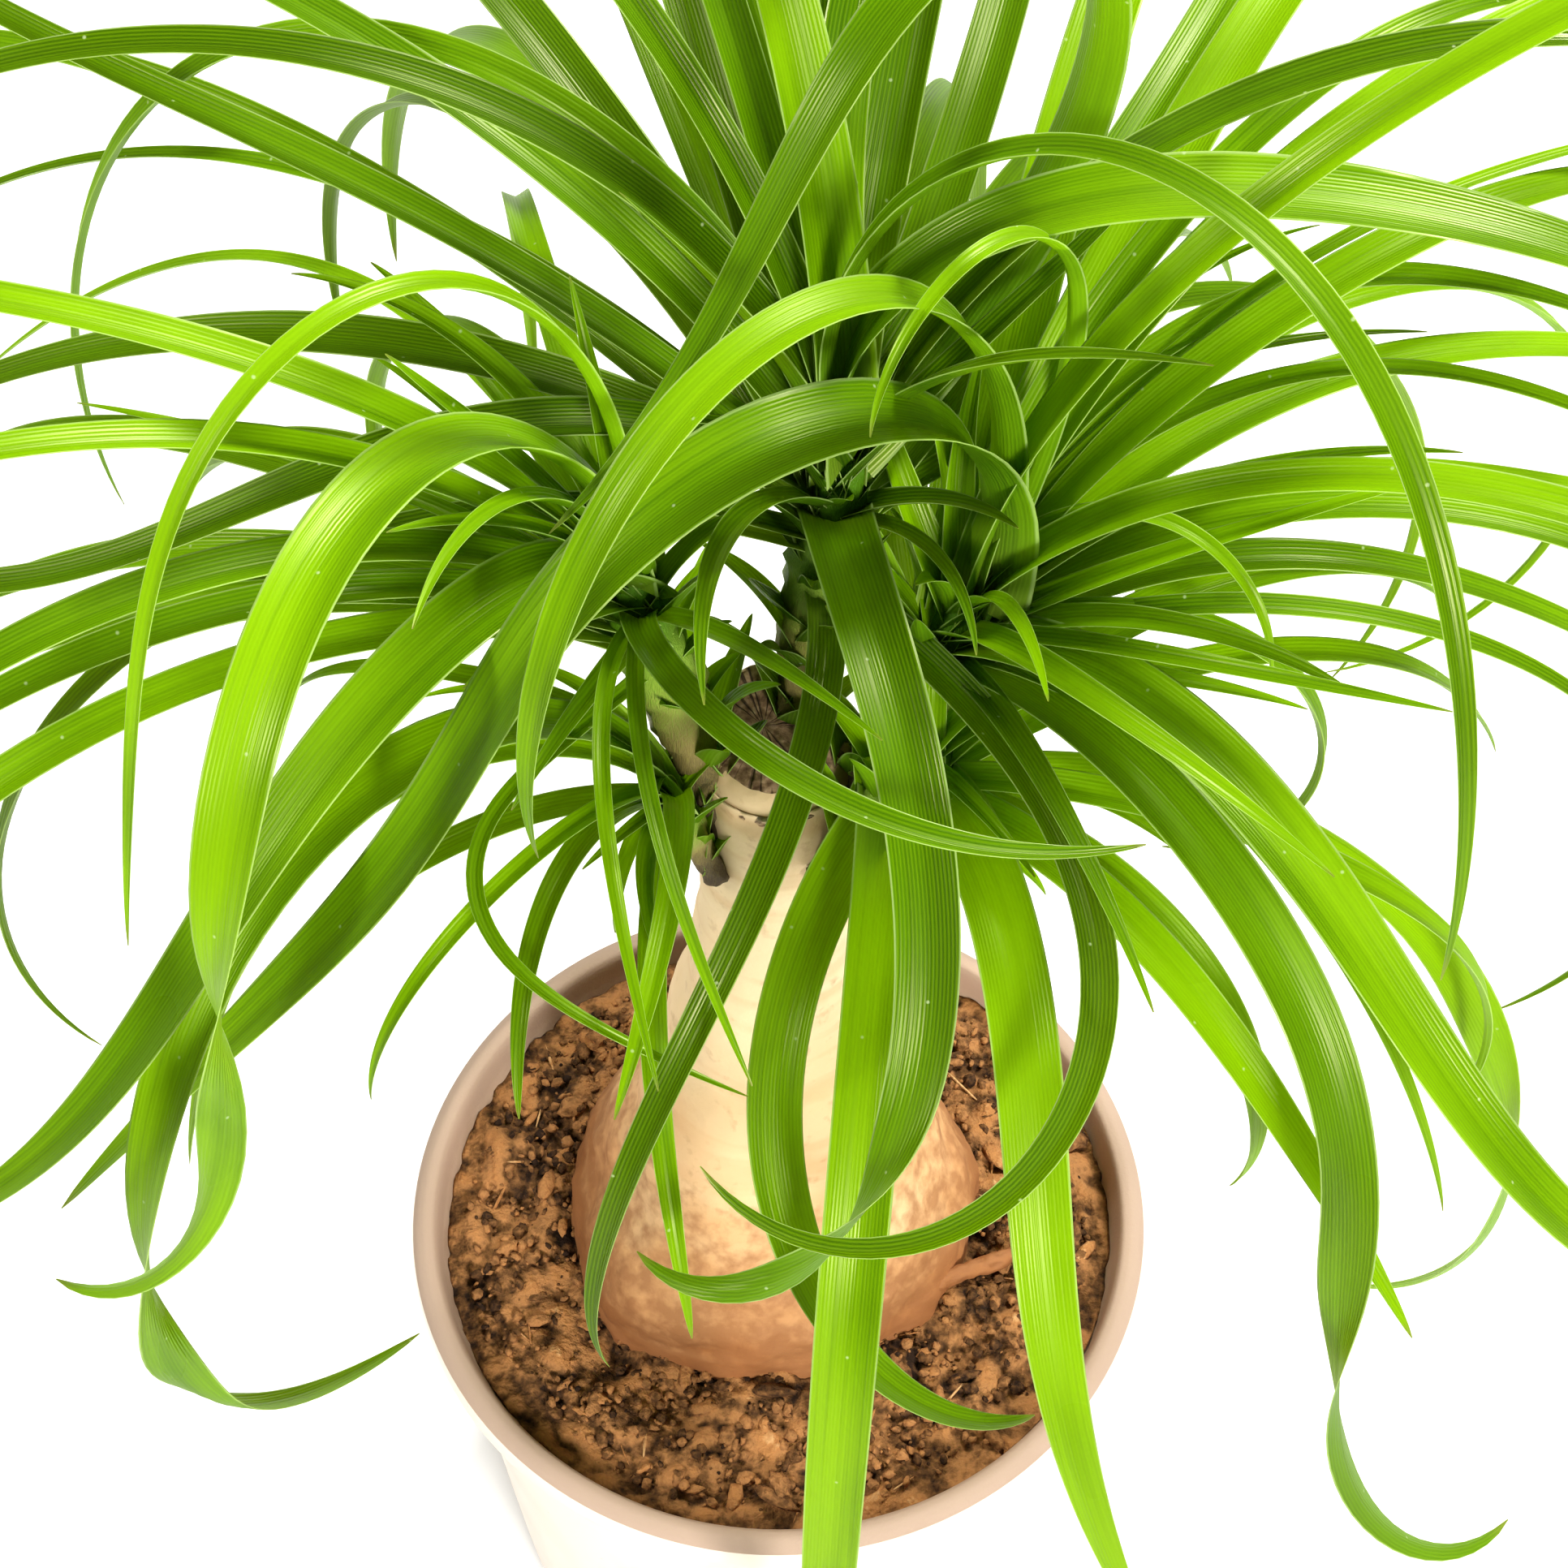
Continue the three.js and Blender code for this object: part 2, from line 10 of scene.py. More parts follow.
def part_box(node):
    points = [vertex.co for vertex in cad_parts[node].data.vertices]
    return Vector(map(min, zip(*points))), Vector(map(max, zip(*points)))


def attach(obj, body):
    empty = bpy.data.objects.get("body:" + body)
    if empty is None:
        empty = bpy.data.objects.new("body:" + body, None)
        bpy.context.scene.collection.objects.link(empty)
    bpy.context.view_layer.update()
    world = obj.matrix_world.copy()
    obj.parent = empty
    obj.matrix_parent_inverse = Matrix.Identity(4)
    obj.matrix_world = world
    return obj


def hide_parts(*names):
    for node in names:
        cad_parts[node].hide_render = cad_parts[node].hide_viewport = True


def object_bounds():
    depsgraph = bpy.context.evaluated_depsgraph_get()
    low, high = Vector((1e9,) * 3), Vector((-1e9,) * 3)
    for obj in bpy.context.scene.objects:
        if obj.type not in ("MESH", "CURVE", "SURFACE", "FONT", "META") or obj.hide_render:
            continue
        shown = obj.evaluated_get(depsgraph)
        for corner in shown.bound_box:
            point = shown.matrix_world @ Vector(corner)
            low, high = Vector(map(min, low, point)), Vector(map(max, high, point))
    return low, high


bl_info = {
    "name": "Potted Ponytail Palm",
    "version": (1, 0, 0),
    "blender": (4, 5, 0),
    "location": "View3D > Sidebar > Palm",
    "description": "Builds the pot, potting mix, trunk and leaf heads of a ponytail palm",
    "category": "Object",
}

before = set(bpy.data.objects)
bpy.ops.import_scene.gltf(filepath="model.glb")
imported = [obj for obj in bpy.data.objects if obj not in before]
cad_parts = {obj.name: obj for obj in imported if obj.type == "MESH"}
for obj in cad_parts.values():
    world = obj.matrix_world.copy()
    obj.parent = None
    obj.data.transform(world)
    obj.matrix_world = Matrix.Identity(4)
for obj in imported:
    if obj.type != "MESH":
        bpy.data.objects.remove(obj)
CAD_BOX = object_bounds()
MM = 0.001


def node_size(node):
    """Radius about +Z and lowest and highest point of a node, in millimetres."""
    low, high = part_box(node)
    return 0.5 * (high[0] - low[0]) / MM, low[2] / MM, high[2] / MM


RIM_RADIUS, POT_FOOT, POT_TOP = node_size("pot")

# Sizes in millimetres that the pieces share
POT = {
    "rim_round": 3.2,
    "lip_radius": 78.8,
    "lip_foot_radius": 77.8,
    "lip_depth": 8.0,
    "collar": 11.0,
    "collar_round": 2.0,
    "body_radius": 78.0,
    "foot_radius": 68.0,
    "foot_round": 2.5,
    "wall": 4.6,
    "floor": 9.0,
    "ledge": 134.0,
}
SOIL = {"radius": 77.2, "edge": 141.2, "edge_run": 9.0, "rise": 1.4, "rise_radius": 46.0}
SOIL_RELIEF = 1.4
SOIL_LUMPS = 14
SOIL_LUMP_RING = (54.0, 68.0)
SOIL_LUMP_SIZE = (2.4, 5.0)
CRUMB_RING = (36, 72.5)
TRUNK = {
    "axis": (-2.5, 5.0),
    "foot": 106.0,
    "bulb_radius": 47.0,
    "bulb": 143.0,
    "neck_radius": 14.8,
    "top": 322.0,
    "slope": 0.3,
    "lobe": 0.03,
    "lean": 3.0,
}
ROOT_ROUTE = [(20, -19, 146), (31, -21, 148.5), (42, -16, 147), (54, -10, 144.5)]
ROOT_RADIUS = 2.3
STEM_FOOT, STEM_CROWN = 4.6, 6.4
GAP = 0.3
# How far below the crest the glaze stops
GLAZE_LINE = 2.6
LINE_STEPS = 60
# What a leaf keeps from the floor, the pot and other leaves, how far out it may reach, and the
# lengths at its root that may lie closer to its own head and to the others
CLEAR = {
    "floor": 25.0,
    "reach": 315.0,
    "beside_rim": 8.0,
    "above_rim": 15.0,
    "leaf": 2.5,
    "per_width": 0.36,
    "root_skip": 55.0,
    "foot_skip": 10.0,
    "box": np.array([[-math.inf] * 3, [math.inf] * 3]),
}

# A leaf that would touch another is bent clear by whole steps, in degrees, as few as it takes
BEND_STEP, BEND_MOST = 4, 5
# Draws at most for each leaf that a fill asks for
DRAWS_PER_LEAF = 60
# How long the photo's leaves and the young ones keep their width
LEAF_TAPER, YOUNG_TAPER = 3.0, 1.5

# Seeds of the random draws: leaves by rule, clods, crumbs
FILL_SEED, LUMP_SEED, CRUMB_SEED = 2027, 11, 71
# Facets round the turned forms
POT_SIDES, SOIL_SIDES, TRUNK_SIDES, ROOT_SIDES, STEM_SIDES = 144, 260, 150, 18, 20


def leaf(turn, rise, length, width, flip=None, taper=LEAF_TAPER):
    """A leaf as it grows: heading and slope in degrees at even steps, length, width, roll-over.

    The higher its taper, the longer it keeps its width and the blunter its tip.
    """
    shape = {"turn": turn, "rise": rise, "length": length, "width": width}
    return shape | {"flip": flip, "taper": taper}


def fill(count, turn, length, width, start=(25, 88), bend=(45, 75)):
    """Limits between which leaves are drawn by rule, and how many there should be."""
    sizes = {"count": count, "turn": turn, "length": length, "width": width}
    return sizes | {"start": start, "bend": bend}


HEADS = {
    "head_back": {
        "foot": (2, 10, 298),
        "crown": (12, 20, 388),
        "leaf_span": 40,
        "leaves": [
            leaf([272, 283, 245, 125], [50, -20, -45, -15], 200, 12, 0.8),
            leaf([10, 0, -8, -12], [100, 15, -15, -35], 225, 15),
            leaf([225, 230, 235, 205], [145, 85, -55, -55], 265, 11),
            leaf([315, 300, 235, 128], [15, -8, -12, 8], 200, 7),
            leaf([280, 240, 225], [20, -35, -100], 190, 6.5),
            leaf([175, 170, 185], [48, -15, -45], 245, 9.5),
            leaf([140, 155, 178, 190], [72, 12, -62, -100], 285, 7),
            leaf([0, -35, -60, -75], [105, 35, -45, -90], 275, 6),
            leaf([185, 190, 135], [55, -22, -5], 225, 9),
            leaf([188, 195, 200], [28, -45, -120], 275, 6.5),
            leaf([168, 152, 118], [52, 5, -5], 280, 7),
            leaf([100, 100, 95], [60, 10, -50], 290, 9),
            leaf([135, 125, 115], [55, 0, -50], 290, 10),
            leaf([40, 65, 75], [35, 0, -45], 280, 9),
            leaf([110, 50, 45], [85, 15, -40], 300, 9),
            leaf([120, 105, 90], [50, -5, -60], 270, 7),
            leaf([120, 108, 95], [50, 5, -50], 290, 7.5),
            leaf([150, 148, 165], [38, -5, -35], 300, 7),
            leaf([160, 155, 170], [55, -10, -45], 255, 4),
        ],
        "fill": fill(16, (20, 165), (230, 390), (7, 11)),
    },
    "head_right": {
        "foot": (11, 2, 298),
        "crown": (35, 6, 362),
        "leaf_span": 30,
        "leaves": [
            leaf([215, 213, 209, 202, 192], [112, 24, -55, -44, -52], 300, 15.5),
            leaf([-50, -52, -72, 50], [42, -35, -78, -20], 280, 11.5, 0.65),
            leaf([-45, -50, 45], [40, -45, -40], 255, 12.5),
            leaf([205, 205, 212, 215], [112, 60, -38, -95], 235, 9.5),
            leaf([0, -5, -20], [45, -55, -160], 150, 5),
            leaf([15, 5, 0], [35, -25, -45], 200, 7.5),
            leaf([30, 15, 10], [30, -25, -45], 220, 9),
            leaf([40, 25, 10], [35, -15, -35], 240, 9),
            leaf([40, 25, 20], [20, -25, -30], 230, 6),
            leaf([50, 15, 0], [70, -15, -45], 225, 6),
            leaf([52, 58, 58], [65, 5, -55], 290, 11),
            leaf([80, 80, 75], [70, 10, -60], 290, 12),
            leaf([-45, -45, -45], [50, -25, -65], 165, 4.5),
            leaf([45, 15, 0], [60, -15, -40], 220, 4.5),
            leaf([38, 22, -10], [52, -38, -152], 310, 4.5),
            leaf([0, -3, -5], [35, -40, -135], 250, 4.5),
            leaf([30, -20, -60], [75, 10, -85], 87, 4),
        ],
        "fill": fill(11, (-10, 110), (200, 360), (6, 11)),
    },
    "head_front": {
        "foot": (10, -8, 294),
        "crown": (29, -9, 336),
        "leaf_span": 20,
        "leaves": [
            leaf([265, 262, 255], [15, -75, -95], 290, 12),
            leaf([-65, -83, -30], [45, -45, -65], 200, 12),
            leaf([235, 260, 320, 400], [10, -35, -45, -35], 165, 10.5),
            leaf([8, -28, -50], [15, -60, -130], 280, 10, 0.55),
            leaf([-38, -45, -42], [30, -30, -50], 150, 9),
        ],
        "fill": fill(4, (-40, 60), (90, 200), (5, 9)),
    },
    "head_left": {
        "foot": (-10, 3, 298),
        "crown": (-27, 3, 374),
        "leaf_span": 30,
        "leaves": [
            leaf([200, 245, 240, 140], [88, 10, -80, -30], 290, 12, 0.7),
            leaf([240, 225, 170], [65, -48, -38], 235, 12.5),
            leaf([175, 165, 175], [30, -25, -50], 200, 8.5),
            leaf([170, 175, 185], [20, -30, -55], 200, 9),
            leaf([-80, -25, 40], [35, -15, -30], 135, 6),
            leaf([215, 222, 232, 235], [102, 55, -55, -75], 245, 4.5),
            leaf([120, 140, 175], [35, -25, -50], 240, 4),
        ],
        "fill": fill(10, (80, 200), (180, 340), (6, 11)),
    },
    "head_shoot": {
        "foot": (-12, -3, 288),
        "crown": (-21, -4, 318),
        "leaf_span": 12,
        "slim": 0.55,
        "leaves": [
            leaf([205, 248, 240], [80, -65, -145], 345, 11, 0.6),
            leaf([190, 205, 200], [70, -50, -80], 180, 7.5),
        ],
        "fill": fill(6, (130, 290), (60, 130), (4, 6)),
    },
}

# Slender leaves of the photo that the solids leave out, chosen one by one like the others
SLENDER = {
    "head_right": [
        leaf([225, 230, 240], [130, 85, -75], 145, 4.5),
        leaf([45, 38, 35], [72, 15, -15], 205, 3),
    ],
    "head_left": [
        leaf([238, 240, 335, 358], [15, 0, -22, -25], 125, 3),
        leaf([-110, -85, -70], [45, -10, -50], 105, 3),
        leaf([-95, -80, -55], [45, 0, -50], 112, 3),
    ],
}

# Young leaves that the solids leave out, thin and close to one another round each crown
YOUNG = {
    "head_back": fill(14, (-60, 240), (45, 125), (4, 8.5), (35, 90), (8, 35)),
    "head_right": fill(14, (-90, 150), (40, 120), (4, 8), (30, 88), (12, 45)),
    "head_front": fill(7, (-90, 100), (30, 75), (3.5, 6.5), (25, 85), (20, 50)),
    "head_left": fill(14, (60, 320), (40, 120), (4, 8), (30, 88), (12, 45)),
    "head_shoot": fill(6, (120, 330), (25, 60), (3, 5), (30, 88), (20, 55)),
}
YOUNG_CLEAR = CLEAR | {
    "leaf": 0.6,
    "per_width": 0.16,
    "root_skip": 26.0,
    "box": np.array(CAD_BOX) / MM,
}


def linear(code):
    """Linear RGBA of an sRGB hex colour."""
    channels = [int(code[i : i + 2], 16) / 255 for i in (1, 3, 5)]
    return (*[c / 12.92 if c <= 0.04045 else ((c + 0.055) / 1.055) ** 2.4 for c in channels], 1.0)


def smoothstep(x, low, high):
    """0 at low and below, 1 at high and above, and a smooth climb between."""
    f = np.clip((x - low) / (high - low), 0.0, 1.0)
    return f * f * (3 - 2 * f)


def lerp(a, b, t):
    """Value that lies the share t of the way from a to b."""
    return a + (b - a) * t


def draws_from(seed):
    """Repeatable draws between 0 and 1."""
    state = seed
    while True:
        state = (state * 1664525 + 1013904223) % 2**32
        yield state / 2**32


def along(knots, t):
    """Value at t of the smooth curve through knots at even steps."""
    k = np.asarray(knots, float)
    k = np.concatenate([[2 * k[0] - k[1]], k, [2 * k[-1] - k[-2]]])
    last = len(k) - 3
    u = np.minimum(np.asarray(t) * last, last - 1e-9)
    i = np.floor(u).astype(int)
    f = u - i
    p0, p1, p2, p3 = k[i], k[i + 1], k[i + 2], k[i + 3]
    bend = 2 * p0 - 5 * p1 + 4 * p2 - p3 + f * (3 * (p1 - p2) + p3 - p0)
    return p1 + 0.5 * f * (p2 - p0 + f * bend)


# Leaf lines, the same rule that the solids follow


def heading(leaf, t):
    """Directions in which a leaf grows at t, from 0 at its root to 1 at its tip."""
    turn, rise = np.radians(along(leaf["turn"], t)), np.radians(along(leaf["rise"], t))
    return np.stack([np.cos(rise) * np.cos(turn), np.cos(rise) * np.sin(turn), np.sin(rise)], -1)


def leaf_root(head, leaf):
    """Where a leaf leaves its stem: the flatter it starts, the further below the crown."""
    crown, foot = np.array(head["crown"], float), np.array(head["foot"], float)
    down = (foot - crown) / np.linalg.norm(foot - crown)
    return crown + down * head["leaf_span"] * min(max(1 - leaf["rise"][0] / 90, 0), 1)


def leaf_line(head, leaf):
    """Points along the midrib of a leaf, from its root to its tip."""
    middles = (np.arange(LINE_STEPS) + 0.5) / LINE_STEPS
    steps = heading(leaf, middles) * leaf["length"] / LINE_STEPS
    start = leaf_root(head, leaf)[None]
    return np.concatenate([start, start + np.cumsum(steps, 0)])


def stem_line(head):
    """Points along a head's stem, for the leaves to keep clear of."""
    foot, crown = np.array(head["foot"], float), np.array(head["crown"], float)
    return foot + np.linspace(0, 1, 12)[:, None] * (crown - foot)


def is_clear(name, leaf, line, placed, need=CLEAR):
    """Whether a leaf keeps in its box and clear of the pot and every leaf and stem before it."""
    radius = np.hypot(line[:, 0], line[:, 1])
    if (line[:, 2] < need["floor"]).any() or (radius > need["reach"]).any():
        return False
    if (line < need["box"][0]).any() or (line > need["box"][1]).any():
        return False
    over_pot = radius < RIM_RADIUS + need["beside_rim"]
    if (over_pot & (line[:, 2] < POT_TOP + need["above_rim"])).any():
        return False
    from_root = np.arange(len(line)) * leaf["length"] / LINE_STEPS
    for other_name, other_width, other_line in placed:
        own = line[from_root >= need["root_skip" if other_name == name else "foot_skip"]]
        apart = need["leaf"] + need["per_width"] * (leaf["width"] + other_width)
        if (((own[:, None] - other_line[None]) ** 2).sum(-1) < apart * apart).any():
            return False
    return True


def bend_shifts():
    """Shifts of turn and rise that bend a leaf clear, the smallest first."""
    steps = range(-BEND_MOST, BEND_MOST + 1)
    shifts = [(i * BEND_STEP, j * BEND_STEP) for i in steps for j in steps]
    return sorted(shifts, key=lambda shift: max(abs(shift[0]), abs(shift[1])))


def bent_clear(name, wanted, placed, need):
    """A leaf with its line, bent just clear of all that is placed, or None where no bend does."""
    for turn_by, rise_by in bend_shifts():
        turn = [angle + turn_by for angle in wanted["turn"]]
        bent = wanted | {"turn": turn, "rise": [angle + rise_by for angle in wanted["rise"]]}
        line = leaf_line(HEADS[name], bent)
        if is_clear(name, bent, line, placed, need):
            return bent, line
    return None


def place_leaves(wanted, grown, placed, need):
    """Adds leaves to those grown, the first of each head before the second of any."""
    for i in range(max(len(leaves) for leaves in wanted.values())):
        for name, leaves in wanted.items():
            found = bent_clear(name, leaves[i], placed, need) if i < len(leaves) else None
            if found:
                placed.append((name, found[0]["width"], found[1]))
                grown[name].append(found[0])


def drawn_leaf(limits, taper, draw):
    """A leaf that bends evenly over, drawn between the limits of a fill."""
    turn = lerp(*limits["turn"], next(draw))
    drift = lerp(-25, 25, next(draw))
    start = lerp(*limits["start"], next(draw))
    bend = lerp(*limits["bend"], next(draw))
    length = lerp(*limits["length"], next(draw))
    width = lerp(*limits["width"], next(draw))
    rise = [start, start - bend, start - 2 * bend]
    return leaf([turn, turn + drift, turn + 2 * drift], rise, length, width, taper=taper)


def draw_leaves(fills, grown, placed, need, taper, draw):
    """Adds leaves drawn by rule to those grown, as many as the fills ask for and find room."""
    for name, limits in fills.items():
        kept = 0
        for _ in range(DRAWS_PER_LEAF * limits["count"]):
            if kept == limits["count"]:
                break
            drawn = drawn_leaf(limits, taper, draw)
            line = leaf_line(HEADS[name], drawn)
            if is_clear(name, drawn, line, placed, need):
                placed.append((name, drawn["width"], line))
                grown[name].append(drawn)
                kept += 1


def grown_leaves():
    """Leaves of each head: the photo's and drawn ones as in the solids, and then finer ones."""
    grown = {name: [] for name in HEADS}
    placed = [(name, 2 * STEM_CROWN, stem_line(head)) for name, head in HEADS.items()]
    draw = draws_from(FILL_SEED)
    place_leaves({name: head["leaves"] for name, head in HEADS.items()}, grown, placed, CLEAR)
    fills = {name: head["fill"] for name, head in HEADS.items()}
    draw_leaves(fills, grown, placed, CLEAR, LEAF_TAPER, draw)
    place_leaves(SLENDER, grown, placed, YOUNG_CLEAR)
    draw_leaves(YOUNG, grown, placed, YOUNG_CLEAR, YOUNG_TAPER, draw)
    return grown


# Mesh making


def lathe(profile, sides):
    """Vertices and faces of a closed turned form, its (radius, height) pairs ending on the axis."""
    angles = np.linspace(0, 2 * np.pi, sides, endpoint=False)
    rows = [(r, z) for r, z in profile if r > 0]
    verts = [(r * math.cos(a), r * math.sin(a), z) for r, z in rows for a in angles]
    faces = []
    for row in range(len(rows) - 1):
        for k in range(sides):
            a, b = row * sides + k, row * sides + (k + 1) % sides
            faces.append((a, b, b + sides, a + sides))
    top = (len(rows) - 1) * sides
    verts += [(0, 0, profile[0][1]), (0, 0, profile[-1][1])]
    for k in range(sides):
        after = (k + 1) % sides
        faces.append((len(verts) - 2, after, k))
        faces.append((len(verts) - 1, top + k, top + after))
    return np.array(verts, float), faces


def round_corners(profile, times):
    """The profile with its corners cut finer and its ends kept."""
    points = np.array(profile, float)
    for _ in range(times):
        cut = np.empty((2 * len(points) - 2, 2))
        cut[0::2] = 0.8 * points[:-1] + 0.2 * points[1:]
        cut[1::2] = 0.2 * points[:-1] + 0.8 * points[1:]
        points = np.concatenate([points[:1], cut[1:-1], points[-1:]])
    return [tuple(p) for p in points]


def refine(profile, step):
    """The profile with points added so that none lie further apart than step, in millimetres."""
    fine = [profile[0]]
    for (r0, z0), (r1, z1) in zip(profile, profile[1:]):
        count = max(1, math.ceil(math.hypot(r1 - r0, z1 - z0) / step))
        fine += [(lerp(r0, r1, i / count), lerp(z0, z1, i / count)) for i in range(1, count + 1)]
    return fine


def tube(centres, radii, sides, wobble=0.0):
    """Vertices and faces of a round bar along centres, its ends closed."""
    centres = np.asarray(centres, float)
    verts, faces = [], []
    for centre, way, radius in zip(centres, np.gradient(centres, axis=0), radii):
        way = Vector(way).normalized()
        across = way.cross(Vector((0.31, 0.95, 0))).normalized()
        other = way.cross(across)
        for k in range(sides):
            angle = 2 * math.pi * k / sides
            spread = across * math.cos(angle) + other * math.sin(angle)
            size = radius * (1 + wobble * noise.noise(Vector(centre) * 0.35 + spread * 1.7))
            verts.append(Vector(centre) + spread * size)
    for row in range(len(centres) - 1):
        for k in range(sides):
            a, b = row * sides + k, row * sides + (k + 1) % sides
            faces.append((a, b, b + sides, a + sides))
    faces.append(tuple(reversed(range(sides))))
    faces.append(tuple(range(len(verts) - sides, len(verts))))
    return np.array([tuple(v) for v in verts]), faces


def merge(parts):
    """One set of vertices and faces from several."""
    verts, faces, base = [], [], 0
    for part_verts, part_faces in parts:
        verts.append(part_verts)
        faces += [tuple(base + i for i in face) for face in part_faces]
        base += len(part_verts)
    return np.concatenate(verts), faces


def make_piece(name, verts, faces, materials, attributes=None):
    """A shaded object at the origin, from millimetres, riding on the plant's one body."""
    mesh = bpy.data.meshes.new(name)
    mesh.from_pydata((np.asarray(verts) * MM).tolist(), [], faces)
    mesh.polygons.foreach_set("use_smooth", [True] * len(mesh.polygons))
    for label, values in (attributes or {}).items():
        values = np.asarray(values, np.float32)
        kind, key = ("FLOAT", "value") if values.ndim == 1 else ("FLOAT_VECTOR", "vector")
        mesh.attributes.new(label, kind, "POINT").data.foreach_set(key, values.ravel())
    for material in materials:
        mesh.materials.append(material)
    piece = bpy.data.objects.new(name, mesh)
    bpy.context.scene.collection.objects.link(piece)
    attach(piece, "root")
    return piece


# Material making

# Places of the colour sockets on a Mix node
MIX_A, MIX_B = 6, 7


def rgba(value):
    """A colour from a hex code, a grey level or a property's red, green and blue."""
    if isinstance(value, str):
        return linear(value)
    return (value, value, value, 1) if isinstance(value, (int, float)) else (*value[:3], 1)


def add(tree, kind, inputs=None, stops=None, **settings):
    """A node with its settings, the stops of its colour ramp, and its input values or links.

    A link comes from a socket, or from a node's first output that is in use.
    """
    node = tree.nodes.new("ShaderNode" + kind)
    for key, value in settings.items():
        setattr(node, key, value)
    for key, value in (inputs or {}).items():
        if isinstance(value, bpy.types.Node):
            value = next(output for output in value.outputs if output.enabled)
        if isinstance(value, bpy.types.NodeSocket):
            tree.links.new(value, node.inputs[key])
        else:
            node.inputs[key].default_value = value
    if stops:
        elements = node.color_ramp.elements
        while len(elements) < len(stops):
            elements.new(0.5)
        for element, (place, _) in zip(elements, stops):
            element.position = place
        for element, (_, value) in zip(elements, stops):
            element.color = rgba(value)
    return node


def new_material(name):
    """An empty material and its node tree."""
    material = bpy.data.materials.new(name)
    material.use_nodes = True
    tree = material.node_tree
    tree.nodes.clear()
    return material, tree


# Length of one band of a wave texture whose scale is 1
WAVE_BAND = 0.314


def per_mm(spacing):
    """Scale on object coordinates, which are in metres, for a pattern of that many millimetres."""
    return 1 / (spacing * MM)


def satin_glaze(settings):
    """Fired off-white glaze: a soft even sheen, with a few iron flecks from the clay below."""
    material, tree = new_material("satin_glaze")
    place = add(tree, "TexCoord").outputs["Object"]
    mottle = add(tree, "TexNoise", {"Vector": place, "Scale": per_mm(30), "Detail": 3.0})
    tones = [(0.3, "#e4d1be"), (0.6, settings.glaze_colour)]
    tint = add(tree, "ValToRGB", {"Fac": mottle}, stops=tones)
    speck = add(tree, "TexVoronoi", {"Vector": place, "Scale": per_mm(7)})
    fleck = add(tree, "ValToRGB", {"Fac": speck}, stops=[(0.03, 0.5), (0.055, 0.0)])
    flecked = {0: fleck, MIX_A: tint, MIX_B: linear("#b79f86")}
    colour = add(tree, "Mix", flecked, data_type="RGBA")
    orange_peel = add(tree, "TexNoise", {"Vector": place, "Scale": per_mm(2.5)})
    bump = add(tree, "Bump", {"Height": orange_peel, "Distance": 0.02 * MM, "Strength": 0.5})
    shader = add(
        tree,
        "BsdfPrincipled",
        {
            "Base Color": colour,
            "Roughness": settings.glaze_roughness,
            "IOR": 1.5,
            "Coat Weight": 0.25,
            "Coat Roughness": 0.2,
            "Normal": bump,
        },
    )
    add(tree, "OutputMaterial", {"Surface": shader})
    return material


def bare_stoneware(settings):
    """Unglazed stoneware, wiped at the rim: dry and fine-grained, darker lower down with painted
    shade inside the pot's mouth.
    """
    material, tree = new_material("bare_stoneware")
    place = add(tree, "TexCoord").outputs["Object"]
    height = add(tree, "SeparateXYZ", {"Vector": place}).outputs["Z"]
    cloud = add(tree, "TexNoise", {"Vector": place, "Scale": per_mm(14), "Detail": 5.0})
    spread = {0: cloud, 1: 0.012, 2: height}
    level = add(tree, "Math", spread, operation="MULTIPLY_ADD")
    # Painted shade: the bare clay darkens lower down, into the pot's mouth below the crest, spread
    # by a cloud
    damp = add(
        tree,
        "MapRange",
        {"Value": level, "From Min": (POT_TOP - 6) * MM, "From Max": (POT_TOP + 5) * MM},
    )
    tones = [(0.0, "#886f5a"), (0.45, "#a9917d"), (0.9, settings.clay_colour)]
    body = add(tree, "ValToRGB", {"Fac": damp}, stops=tones)
    grain = add(tree, "TexNoise", {"Vector": place, "Scale": per_mm(0.8), "Detail": 4.0})
    bump = add(tree, "Bump", {"Height": grain, "Distance": 0.12 * MM, "Strength": 0.7})
    surface = {"Base Color": body, "Roughness": 0.85, "IOR": 1.45, "Normal": bump}
    shader = add(tree, "BsdfPrincipled", surface)
    add(tree, "OutputMaterial", {"Surface": shader})
    return material


def potting_mix(settings):
    """Peat and composted bark: matt crumbs from near black where damp to orange-brown where dry,
    with painted shade round the trunk.
    """
    material, tree = new_material("potting_mix")
    place = add(tree, "TexCoord").outputs["Object"]
    tone = add(tree, "Attribute", attribute_name="tone").outputs["Fac"]
    patch = add(tree, "TexNoise", {"Vector": place, "Scale": per_mm(16), "Detail": 5.0})
    crumb = add(tree, "TexNoise", {"Vector": place, "Scale": per_mm(1.6), "Detail": 6.0})
    share = {0: crumb, 1: 0.45, 2: tone}
    mixed = add(tree, "Math", share, operation="MULTIPLY_ADD")
    lifted = {0: patch, 1: 0.55, 2: mixed}
    level = add(tree, "Math", lifted, operation="MULTIPLY_ADD")
    colour = add(
        tree,
        "ValToRGB",
        {"Fac": level},
        stops=[
            (0.34, "#2e1d10"),
            (0.48, settings.damp_colour),
            (0.64, settings.dry_colour),
            (0.84, "#ab7848"),
            (1.0, "#cfa675"),
        ],
    )
    bump = add(tree, "Bump", {"Height": crumb, "Distance": 1.3 * MM, "Strength": 1.0})
    surface = {"Base Color": colour, "Roughness": 0.93, "IOR": 1.4, "Normal": bump}
    shader = add(tree, "BsdfPrincipled", surface)
    add(tree, "OutputMaterial", {"Surface": shader})
    return material


